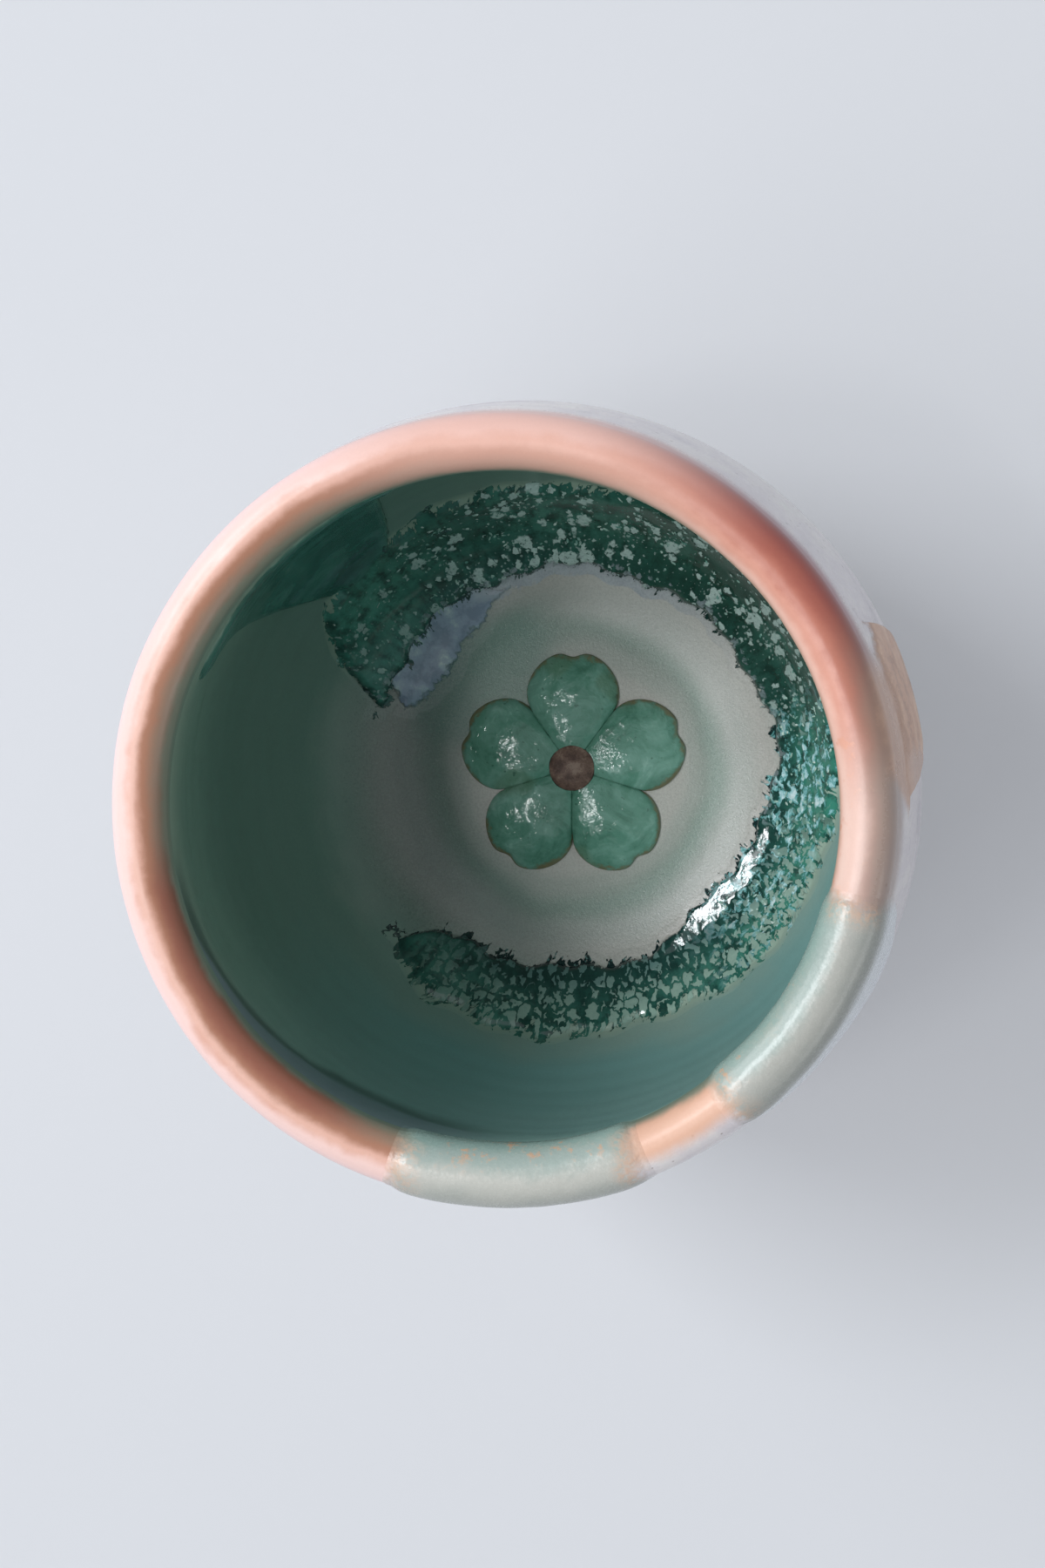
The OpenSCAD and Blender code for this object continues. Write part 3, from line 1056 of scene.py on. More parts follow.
@dataclass(frozen=True)
class LavenderCoat(Finish):
    """Glossy grey-lavender glaze of the outside."""

    name: str = "lavender_coat"
    slot: str = "lavender_glaze"

    def paint(self, w: NodeWriter) -> Look:
        """Cloudy grey-lavender that warms where it breaks thin above the foot.

        Args:
            w: Writer of the material's tree.

        Returns:
            The look.
        """
        here = w.here()
        x, y, z = w.split(here)
        cloud = w.noise(here, 0.07, 4.0, 0.6)
        mottle = w.noise(w.vector(x, y, z * 0.4), 0.35, 4.0, 0.6)
        grain = w.noise(here, 2.6, 3.0, 0.65)
        colour = w.ramp(cloud * 0.6 + mottle * 0.4, (0.32, 190, 184, 188), (0.46, 212, 205, 207),
                        (0.56, 220, 214, 212), (0.7, 222, 222, 214))
        colour = w.blend(w.smooth(z + (mottle - 0.5) * 8.0, 20.0, 10.0) * 0.6, colour, shade(150, 128, 116))
        colour = w.blend(w.specks(0.55, 0.04, 0.14) * 0.6, colour, shade(112, 92, 82))
        colour = w.times(colour, 0.95 + grain * 0.1)
        return Look(colour, 0.18 + grain * 0.12, mottle * 0.08 + grain * 0.015)


@dataclass(frozen=True)
class SalmonLip(Finish):
    """Salmon glaze of the lip, breaking brown inside and going violet on one side."""

    name: str = "salmon_lip"
    slot: str = "salmon_glaze"
    throat_s: float = 0.0

    def paint(self, w: NodeWriter) -> Look:
        """Bands along the lip that change round it, with painted shade outside at the lower right.

        Args:
            w: Writer of the material's tree.

        Returns:
            The look.
        """
        here = w.here()
        x, y, _ = w.split(here)
        _, s, _ = w.layer("wall")
        turn = w.turn(x, y)
        cloud = w.noise(here, 0.10, 3.0, 0.6)
        mottle = w.noise(here, 0.6, 4.0, 0.62)
        grain = w.noise(here, 3.4, 3.0, 0.7)
        right = w.band(turn, -34.0, -2.0, 42.0, 82.0)
        way = s - self.throat_s + (cloud - 0.5) * 2.2 + (mottle - 0.5) * 0.7
        shaded = w.ramp(way, (-1.0, 122, 142, 126), (0.8, 138, 138, 120), (2.0, 150, 124, 104),
                        (3.2, 164, 116, 92), (4.2, 206, 158, 140), (5.4, 230, 197, 189),
                        (8.0, 234, 202, 200), (12.0, 216, 186, 184), span=(-1.0, 16.0))
        burnt = w.band(turn, -178.0, -164.0, -124.0, -106.0) * w.band(way, 0.2, 1.2, 2.4, 3.7)
        shaded = w.blend(burnt * 0.85, shaded, shade(146, 86, 68))
        mild = w.band(turn, -20.0, 20.0, 94.0, 128.0) * w.smooth(way, 0.2, 1.6)
        shaded = w.blend(mild * 0.65, shaded, shade(220, 172, 156))
        bright = w.ramp(way, (-1.0, 150, 140, 122), (0.2, 206, 166, 146), (1.2, 228, 184, 168),
                        (2.5, 206, 148, 130), (3.5, 178, 110, 91), (4.8, 160, 90, 76),
                        (6.2, 152, 84, 76), (7.8, 150, 94, 98), (10.5, 162, 126, 132),
                        span=(-1.0, 16.0))
        colour = w.blend(right, shaded, bright)
        gap = w.band(turn, -76.0, -67.0, -50.0, -40.0)
        colour = w.blend(gap * w.smooth(way, 0.4, 1.8), colour, shade(214, 170, 146))
        spots = w.smooth(mottle + (cloud - 0.5) * 0.6, 0.56, 0.66)
        colour = w.blend(spots * w.band(turn, -30.0, -12.0, 6.0, 30.0) * 0.7, colour,
                         shade(214, 146, 116))
        pale = w.band(turn, -24.0, -10.0, -2.0, 20.0) * w.smooth(way, 0.6, 1.8)
        colour = w.blend(pale * 0.6, colour, w.blend(w.smooth(way, 3.6, 4.8), shade(228, 206, 194),
                                                     shade(190, 140, 116)))
        lavender = LavenderCoat().paint(w)
        fade = w.lerp(right, w.smooth(way, 9.0, 14.0), w.smooth(way, 8.5, 13.0))
        low_right = w.band(turn, -24.0, -14.0, 2.0, 14.0)
        fade = w.most(fade, low_right * w.smooth(way, 3.2, 6.6), gap * w.smooth(way, 4.0, 5.8))
        look = Look(w.times(colour, 0.96 + grain * 0.08), 0.33 + (mottle - 0.5) * 0.12,
                    mottle * 0.03 + grain * 0.008)
        look = w.mix_looks(fade, look, lavender)
        # Painted shade: the outside of the lip at the lower right is painted darker and browner.
        painted_lip_shade = w.band(turn, -26.0, -12.0, 14.0, 34.0) * w.band(way, 2.8, 5.6, 9.0, 14.0)
        look = look._replace(colour=w.blend(painted_lip_shade * 0.84, look.colour, shade(152, 128, 113)))
        bleed = w.smooth(turn + way * 0.7, 9.0, 12.0) * w.smooth(turn, 25.0, 18.0) * w.smooth(way, 5.4, 7.2)
        ochre = w.times(w.blend(mottle, shade(170, 128, 104), shade(206, 168, 142)), 0.94 + grain * 0.12)
        return look._replace(colour=w.blend(bleed * 0.9, look.colour, ochre))


@dataclass(frozen=True)
class PaleCeladon(Finish):
    """Pale celadon poured over the lip."""

    name: str = "pale_celadon"
    slot: str = "pale_celadon"
    lip: SalmonLip = field(default_factory=SalmonLip)

    def paint(self, w: NodeWriter) -> Look:
        """Cream on the lip with painted highlight and shade, cooler outside, soft ends, rusty specks
        inside.

        Args:
            w: Writer of the material's tree.

        Returns:
            The look.
        """
        here = w.here()
        _, s, edge = w.layer("wall")
        cloud = w.noise(here, 0.2, 4.0, 0.6)
        fine = w.noise(here, 1.6, 3.0, 0.65)
        way = s - self.lip.throat_s + (cloud - 0.5) * 3.0
        # A lighter band round way 4.2, along the crest, is a painted highlight; the rest is the glaze's
        # own.
        colour = w.ramp(way, (-2.0, 122, 152, 146), (0.8, 140, 164, 156), (2.6, 150, 164, 157),
                        (4.2, 178, 178, 170), (6.5, 162, 165, 158), (9.0, 178, 184, 182),
                        (12.0, 214, 219, 221), (22.0, 216, 220, 224), span=(-2.0, 24.0))
        x, _, _ = w.split(here)
        # Painted shade: the pour is darker towards +x over the band where it turns over the lip.
        turned_over = w.band(way, 2.4, 4.4, 6.6, 8.2)
        colour = w.times(colour, 0.94 + fine * 0.12 - w.smooth(x, 14.0, 34.0) * turned_over * 0.14)
        rust = w.smooth(cloud + (fine - 0.5) * 0.5, 0.60, 0.72) * w.smooth(way, 4.5, 2.0)
        colour = w.blend(rust * 0.7, colour, shade(204, 152, 112))
        ragged = (cloud - 0.5) * 5.0 + (fine - 0.5) * 1.2
        inside = w.smooth(edge + ragged, -1.5, 1.5)
        stain = w.smooth(edge + ragged, 4.0, 0.4) * w.smooth(way, 7.5, 5.0) * w.smooth(fine, 0.36, 0.6)
        colour = w.blend(stain * w.smooth(way, 0.6, 2.4) * 0.6, colour, shade(202, 158, 128))
        under = w.mix_looks(w.smooth(s - self.lip.throat_s, -1.1, -0.5), SatinLiner().paint(w),
                            self.lip.paint(w))
        return w.mix_looks(inside, under,
                           Look(colour, 0.22 + fine * 0.1, cloud * 0.08 + fine * 0.02), 0.04)


@dataclass(frozen=True)
class OchrePour(Finish):
    """Ochre-brown pour on the outside."""

    name: str = "ochre_pour"
    slot: str = "ochre_glaze"
    lip: SalmonLip = field(default_factory=SalmonLip)

    def paint(self, w: NodeWriter) -> Look:
        """Speckled ochre with a darker rim.

        Args:
            w: Writer of the material's tree.

        Returns:
            The look.
        """
        here = w.here()
        _, _, edge = w.layer("wall")
        cloud = w.noise(here, 0.2, 4.0, 0.6)
        fine = w.noise(here, 2.2, 3.0, 0.7)
        colour = w.ramp(cloud + (fine - 0.5) * 0.5, (0.32, 170, 126, 100), (0.5, 200, 158, 130),
                        (0.68, 216, 182, 154))
        ragged = (fine - 0.5) * 1.6 + (cloud - 0.5) * 5.0 - 0.5
        x, y, _ = w.split(here)
        turn = w.turn(x, y)
        inside = w.smooth(edge + ragged, -0.7, 1.1) * w.smooth(turn + (cloud - 0.5) * 8.0, 6.5, 9.0)
        colour = w.blend(w.smooth(edge + ragged, 2.2, 0.4) * 0.5, colour, shade(146, 104, 80))
        return w.mix_looks(inside, self.lip.paint(w),
                           Look(colour, 0.28 + fine * 0.14, cloud * 0.06 + fine * 0.02), 0.03)


@dataclass(frozen=True)
class BareClay(Finish):
    """Bare fired stoneware with its sand."""

    name: str = "bare_clay"
    slot: str = "bare_clay"
    specular: float = 0.3

    def paint(self, w: NodeWriter) -> Look:
        """Warm clay with turning marks and dark grit.

        Args:
            w: Writer of the material's tree.

        Returns:
            The look.
        """
        here = w.here()
        x, y, z = w.split(here)
        r = w.radius(x, y)
        cloud = w.noise(here, 0.15, 3.0)
        grain = w.noise(here, 4.0, 4.0, 0.7)
        lines = w.noise(w.vector(r * 2.2, z * 2.2, cloud), 1.0, 2.0)
        colour = w.ramp(cloud, (0.3, 168, 138, 112), (0.6, 196, 166, 138))
        colour = w.blend(w.specks(1.1, 0.05, 0.16) * 0.7, colour, shade(92, 70, 58))
        colour = w.times(colour, 0.88 + grain * 0.16 + lines * 0.08)
        return Look(colour, 0.78 + grain * 0.15, lines * 0.08 + grain * 0.05)


@dataclass(frozen=True)
class PetalGreen(Finish):
    """Thick glossy sea-green glaze of the petals."""

    name: str = "petal_green"
    slot: str = "petal_green"
    coat: float = 0.3

    def paint(self, w: NodeWriter) -> Look:
        """Sea-green with deeper pools, rusty where it thins at the outline.

        Args:
            w: Writer of the material's tree.

        Returns:
            The look.
        """
        here = w.here()
        _, _, edge = w.layer("wall")
        cloud = w.noise(here, 0.2, 4.0, 0.6, 0.8)
        fine = w.noise(here, 1.3, 3.0, 0.6)
        pits = w.noise(here, 2.6, 2.0, 0.7)
        colour = w.ramp(cloud + (fine - 0.5) * 0.2, (0.3, 82, 132, 112), (0.45, 102, 154, 134),
                        (0.58, 120, 168, 150), (0.7, 146, 190, 174))
        rust = w.smooth(edge + (fine - 0.5) * 1.6 + (cloud - 0.5) * 3.0, 0.7, -0.1)
        colour = w.blend(rust * 0.7, colour, shade(146, 116, 76))
        olive = w.smooth(w.noise(here, 0.11, 2.0), 0.54, 0.64)
        colour = w.blend(olive * 0.35, colour, shade(100, 120, 84))
        speck = w.smooth(w.noise(here, 1.1, 1.0), 0.72, 0.76)
        colour = w.blend(speck * 0.5, colour, shade(46, 78, 66))
        dents = w.noise(here, 0.75, 2.0, 0.55, 0.5)
        return Look(colour, 0.035 + fine * 0.04, cloud * 0.26 + dents * 0.16 + pits * 0.022)


@dataclass(frozen=True)
class IronEye(Finish):
    """Satin iron-brown glaze of the blossom's eye."""

    name: str = "iron_eye"
    slot: str = "iron_brown"

    def paint(self, w: NodeWriter) -> Look:
        """Brown with lighter grains.

        Args:
            w: Writer of the material's tree.

        Returns:
            The look.
        """
        here = w.here()
        cloud = w.noise(here, 0.6, 3.0)
        fine = w.noise(here, 3.5, 3.0, 0.7)
        colour = w.ramp(cloud + (fine - 0.5) * 0.6, (0.3, 88, 62, 54), (0.5, 122, 92, 80),
                        (0.7, 158, 130, 116))
        return Look(colour, 0.4 + fine * 0.2, cloud * 0.1 + fine * 0.06)


@dataclass(frozen=True)
class FlakeGlaze(Finish):
    """Pale crystals standing in the green glaze."""

    name: str = "crystal_flakes"
    slot: str = "crystal_green"

    def paint(self, w: NodeWriter) -> Look:
        """Icy or celadon by place.

        Args:
            w: Writer of the material's tree.

        Returns:
            The look.
        """
        tone = w.noise(w.here(), 0.9, 3.0)
        colour = w.ramp(tone, (0.35, 96, 146, 134), (0.5, 150, 184, 172), (0.65, 204, 220, 212))
        return Look(colour, 0.16 + tone * 0.15, tone * 0.05)


class GeometryTree:
    """A Geometry Nodes tree with named inputs, and the modifier that runs it."""

    def __init__(self, name: str, inputs: Mapping[str, tuple[str, Any]]) -> None:
        """Make an empty tree.

        Args:
            name: Name of the tree.
            inputs: Kind and value of each input, by its name.
        """
        self.tree = bpy.data.node_groups.new(name, "GeometryNodeTree")
        self.tree.interface.new_socket("Geometry", in_out="INPUT", socket_type="NodeSocketGeometry")
        self.tree.interface.new_socket("Geometry", in_out="OUTPUT", socket_type="NodeSocketGeometry")
        self.values: dict[str, Any] = {}
        self.names: dict[str, str] = {}
        for label, (kind, value) in inputs.items():
            item = self.tree.interface.new_socket(label, in_out="INPUT", socket_type="NodeSocket" + kind)
            self.names[label] = item.identifier
            self.values[label] = value
        self.w = NodeWriter(self.tree)
        self.source = self.w.add("NodeGroupInput").outputs

    def given(self, label: str) -> Field:
        """The field of a named input."""
        return Field(self.w, self.source[label])

    def close(self, geometry: Any) -> None:
        """Realize, set the material and end the tree.

        Args:
            geometry: The shaped geometry.
        """
        whole = self.w.add("GeometryNodeRealizeInstances", {"Geometry": geometry}).outputs[0]
        dressed = self.w.add("GeometryNodeSetMaterial", {"Geometry": whole,
                                                        "Material": self.source["Glaze"]}).outputs[0]
        self.w.add("NodeGroupOutput", {0: dressed})

    def move(self, shift: bpy.types.NodeSocket) -> None:
        """Shift the points by a vector in metres and end the tree."""
        self.close(self.w.add("GeometryNodeSetPosition", {"Geometry": self.source[0],
                                                          "Offset": shift}).outputs[0])

    def run(self, piece: bpy.types.Object, **values: Any) -> bpy.types.Object:
        """Run the tree on a piece and keep the result as its plain mesh.

        Args:
            piece: The piece to change.
            values: Inputs that differ from the tree's own, by name with _ for a space.

        Returns:
            The piece.
        """
        modifier = piece.modifiers.new(self.tree.name, "NODES")
        modifier.node_group = self.tree
        chosen = dict(self.values)
        chosen.update({label.replace("_", " "): value for label, value in values.items()})
        for label, value in chosen.items():
            modifier[self.names[label]] = value
        depsgraph = bpy.context.evaluated_depsgraph_get()
        mesh = bpy.data.meshes.new_from_object(piece.evaluated_get(depsgraph),
                                               preserve_all_data_layers=True, depsgraph=depsgraph)
        piece.modifiers.clear()
        old = piece.data
        piece.data = mesh
        bpy.data.meshes.remove(old)
        mesh.name = piece.name
        return piece


class ThrownSurface(GeometryTree):
    """What the potter's hands leave: a slight wobble, throwing rings and an uneven lip."""

    def __init__(self) -> None:
        """Build the tree."""
        super().__init__("thrown_surface", {
            "Wobble": ("Float", 0.30), "Ring Depth": ("Float", 0.022), "Ring Pitch": ("Float", 5.2),
            "Floor Depth": ("Float", 0.012), "Floor Pitch": ("Float", 3.4),
            "Lip Wave": ("Float", 0.45), "Seed": ("Float", 3.0), "Glaze": ("Material", None)})
        w = self.w
        x, y, z = w.split(w.here())
        r = w.radius(x, y)
        safe = w.most(r, 0.01)
        way_x = x / safe
        way_y = y / safe
        seed = self.given("Seed")
        drift = w.noise(w.vector(way_x + seed, way_y, z * 0.012), 1.1, 2.0) - 0.5
        phase = w.noise(w.vector(way_x, way_y + seed, z * 0.03), 1.4, 2.0)
        wave = w.math("SINE", (z / self.given("Ring Pitch") + phase * 1.3) * (2 * math.pi))
        hands = w.band(z, 16.0, 34.0, 72.0, 84.0)
        out = drift * 2.0 * self.given("Wobble") * w.smooth(z, 6.0, 24.0)
        out = out + wave * self.given("Ring Depth") * hands
        out = out * w.smooth(r, 15.0, 27.0)
        spiral = w.math("SINE", r / self.given("Floor Pitch") * (2 * math.pi) + phase * 4.0)
        up = spiral * self.given("Floor Depth") * w.smooth(z, 7.0, 11.0) * w.smooth(r, 25.0, 21.0)
        level = (w.noise(w.vector(way_x, way_y, seed), 1.3, 2.0) - 0.5) * self.given("Lip Wave")
        up = up + level * w.smooth(z, 60.0, 86.0)
        self.move(w.vector(way_x * out * MM, way_y * out * MM, up * MM))


class GlazeRelief(GeometryTree):
    """Lumps of a thick glaze, with the crystal web raised out of it where there is one."""

    def __init__(self) -> None:
        """Build the tree."""
        super().__init__("glaze_relief", {
            "Lump": ("Float", 0.12), "Lump Size": ("Float", 3.0), "Crystal": ("Float", 0.0),
            "Glaze": ("Material", None)})
        w = self.w
        u, v, edge = w.layer("wall")
        web, shards, flecks = w.layer("look")
        glaze = CrystalGreen()
        plump = glaze.openings(w, u, v) * web + w.smooth(glaze.shards(w, u, v), 0.44, 0.6) * shards
        room = w.smooth(edge, 0.0, 1.5)
        clear = w.smooth(edge, 2.0, 4.2)
        size = self.given("Lump Size")
        soft = w.noise(w.vmath("DIVIDE", w.here(), w.vector(size, size, size)), 1.0, 2.0)
        crust = plump + glaze.flecks(w, u, v) * flecks
        rise = (soft - 0.5) * 2.0 * self.given("Lump") + crust * clear * self.given("Crystal")
        self.move(w.times(w.add("GeometryNodeInputNormal").outputs[0], rise * room * MM))


class CrystalBloom(GeometryTree):
    """Small pale crystals scattered where the green glaze is richest."""

    def __init__(self) -> None:
        """Build the tree."""
        super().__init__("crystal_bloom", {
            "Per Square Metre": ("Float", 620000.0), "Flake": ("Float", 0.36), "Seed": ("Int", 7),
            "Glaze": ("Material", None)})
        w = self.w
        u, v, edge = w.layer("wall")
        _, shards, flecks = w.layer("look")
        cluster = w.noise(w.vector(u, v), 0.28, 3.0)
        rich = shards * w.smooth(cluster, 0.3, 0.6) + flecks * w.smooth(cluster, 0.5, 0.64) * 1.4
        rich = rich * w.smooth(edge, 0.6, 1.8) * self.given("Per Square Metre")
        spread = w.add("GeometryNodeDistributePointsOnFaces", {
            "Mesh": self.source[0], "Density": rich, "Seed": self.source["Seed"]})
        stone = w.add("GeometryNodeMeshIcoSphere", {"Radius": MM, "Subdivisions": 1}).outputs[0]
        turn = w.add("FunctionNodeRandomValue", {0: (-0.5, -0.5, 0.0), 1: (0.5, 0.5, 6.28)},
                     data_type="FLOAT_VECTOR").outputs[0]
        facing = w.add("FunctionNodeRotateRotation", {0: spread.outputs["Rotation"], 1: turn},
                       rotation_space="LOCAL").outputs[0]
        size = w.add("FunctionNodeRandomValue", {0: (0.5, 0.35, 0.12), 1: (1.5, 0.8, 0.3)},
                     data_type="FLOAT_VECTOR").outputs[0]
        laid = w.add("GeometryNodeInstanceOnPoints", {
            "Points": spread.outputs["Points"], "Instance": stone, "Rotation": facing,
            "Scale": w.times(size, self.given("Flake"))})
        self.close(laid.outputs[0])


class Workshop:
    """What all the sub-assemblies share: the section line, the trees and the way to declare a piece."""

    def __init__(self) -> None:
        """Build the line and the trees."""
        self.line = SectionLine(CupSizes())
        self.thrown = ThrownSurface()
        self.relief = GlazeRelief()
        self.bloom = CrystalBloom()
        self.lip = SalmonLip(throat_s=self.line.throat_s)

    def declare(self, piece: bpy.types.Object, finish: Finish, *nodes: str, **relief: float) -> None:
        """Shape the piece's surface, dress it, attach it to the root body and hide the CAD nodes it
        replaces.

        Args:
            piece: The mesh.
            finish: Its finish.
            nodes: CAD nodes that it replaces.
            relief: Inputs of the glaze's relief, where it gets one.
        """
        if relief:
            self.relief.run(piece, **relief)
        self.thrown.run(piece, Glaze=finish.material())
        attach(piece, "root")
        if nodes:
            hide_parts(*nodes)
        LOG.info("%s: %d points for %s", piece.name, len(piece.data.vertices), ", ".join(nodes) or "detail")

    def film(self, name: str, angle: Array, low: Array, high: Array, cols: int,
             edge: Callable[[Array, Array], Array], top: Callable[[Array, Array, Array], Array],
             look: Callable[[Array, Array], Array] | None = None, lift: float = 0.0,
             sink: float = 0.0) -> bpy.types.Object:
        """A film of glaze lying on the coats.

        Args:
            name: Name of the piece.
            angle: Angle of each row in degrees.
            low: Distance along the section line of each row's first point.
            high: The same of its last point.
            cols: Steps across the film.
            edge: Distance inside the nominal edge at an angle and a distance.
            top: Thickness at an angle, a distance and that distance inside the edge.
            look: Three shares that the finish reads.
            lift: How far the film's top stands off the coat.
            sink: How deep its underside reaches into the coat.

        Returns:
            The piece.
        """
        share = np.linspace(0, 1, cols + 1)
        a = np.repeat(angle[:, None], cols + 1, axis=1)
        s = low[:, None] + (high - low)[:, None] * share
        inside = edge(a, s)
        coat = self.line.coat(s) + lift
        tops = round_axis(a, *self.line.at(s, coat + top(a, s, inside)))
        bottoms = round_axis(a, *self.line.at(s, coat - sink))
        wall = np.stack([np.radians(a) * WALL_R, s, inside], axis=-1)
        shares = look(a, s) if look else np.zeros_like(wall)
        return MeshMaker.sheet(name, tops, bottoms, wall, shares)


@dataclass
class ClayBody:
    """The thrown clay with its turned foot."""

    shop: Workshop
    step: float = 1.2
    recess_rings: int = 23
    arc_steps: int = 6

    def build(self) -> None:
        """Turn the clay and dress it."""
        line = self.shop.line
        size = line.size
        inner = size.foot_r - size.foot_w
        edge = size.foot_round
        corner = size.recess_round
        foot = [(size.foot_r, edge)]
        foot += self._arc(size.foot_r - edge, edge, edge, 0, -90)
        foot += self._arc(inner + edge, edge, edge, -90, -180)
        foot += self._arc(inner - corner, size.recess_h - corner, corner, 0, 90)
        rings = np.linspace(inner - corner, 0, self.recess_rings + 1)[1:]
        foot += [(r, size.recess_h) for r in rings]
        s = np.concatenate([np.arange(0, line.foot_s, self.step), [line.foot_s]])
        r, z = line.at(s)
        upper = np.stack([r, z, s], axis=1)
        lower = np.array([(fr, fz, line.foot_s + i) for i, (fr, fz) in enumerate(foot)])
        piece = MeshMaker.turned("thrown_clay", np.concatenate([upper, lower]), loop=False)
        self.shop.declare(piece, BareClay(), "clay_body")

    def _arc(self, r: float, z: float, radius: float, start: float, end: float) -> list[Span]:
        """Points of a corner's rounding."""
        turn = np.linspace(start, end, self.arc_steps + 1)
        return list(zip(r + radius * cos_deg(turn), z + radius * sin_deg(turn)))


@dataclass
class TurnedCoats:
    """The three coats that go all the way round: liner, lip and outside."""

    shop: Workshop

    def coat(self, name: str, start: float, end: float, step: float, loop: bool) -> bpy.types.Object:
        """Turn one coat.

        Args:
            name: Name of the piece.
            start: Where it starts on the section line.
            end: Where it ends.
            step: Length of a face along the line.
            loop: Whether it is open round the axis.

        Returns:
            The piece.
        """
        line = self.shop.line
        s = np.linspace(start, end, int((end - start) / step) + 1)
        under = np.linspace(end, start, int((end - start) / (4 * step)) + 2)
        top_r, top_z = line.at(s, line.coat(s))
        low_r, low_z = line.at(under)
        section = np.concatenate([np.stack([top_r, top_z, s], axis=1),
                                  np.stack([low_r, low_z, under], axis=1)])
        return MeshMaker.turned(name, section, loop)

    def build(self) -> None:
        """Turn and dress the coats."""
        line = self.shop.line
        liner = self.coat("inside_liner", 0.0, line.liner_end, step=0.5, loop=False)
        self.shop.declare(liner, SatinLiner(), "liner_glaze")
        lip = self.coat("lip_coat", line.liner_end, line.lip_end, step=0.3, loop=True)
        self.shop.declare(lip, self.shop.lip, "lip_glaze")
        outside = self.coat("outside_coat", line.lip_end, line.glaze_end, step=0.5, loop=True)
        self.shop.declare(outside, LavenderCoat(), "outer_glaze")


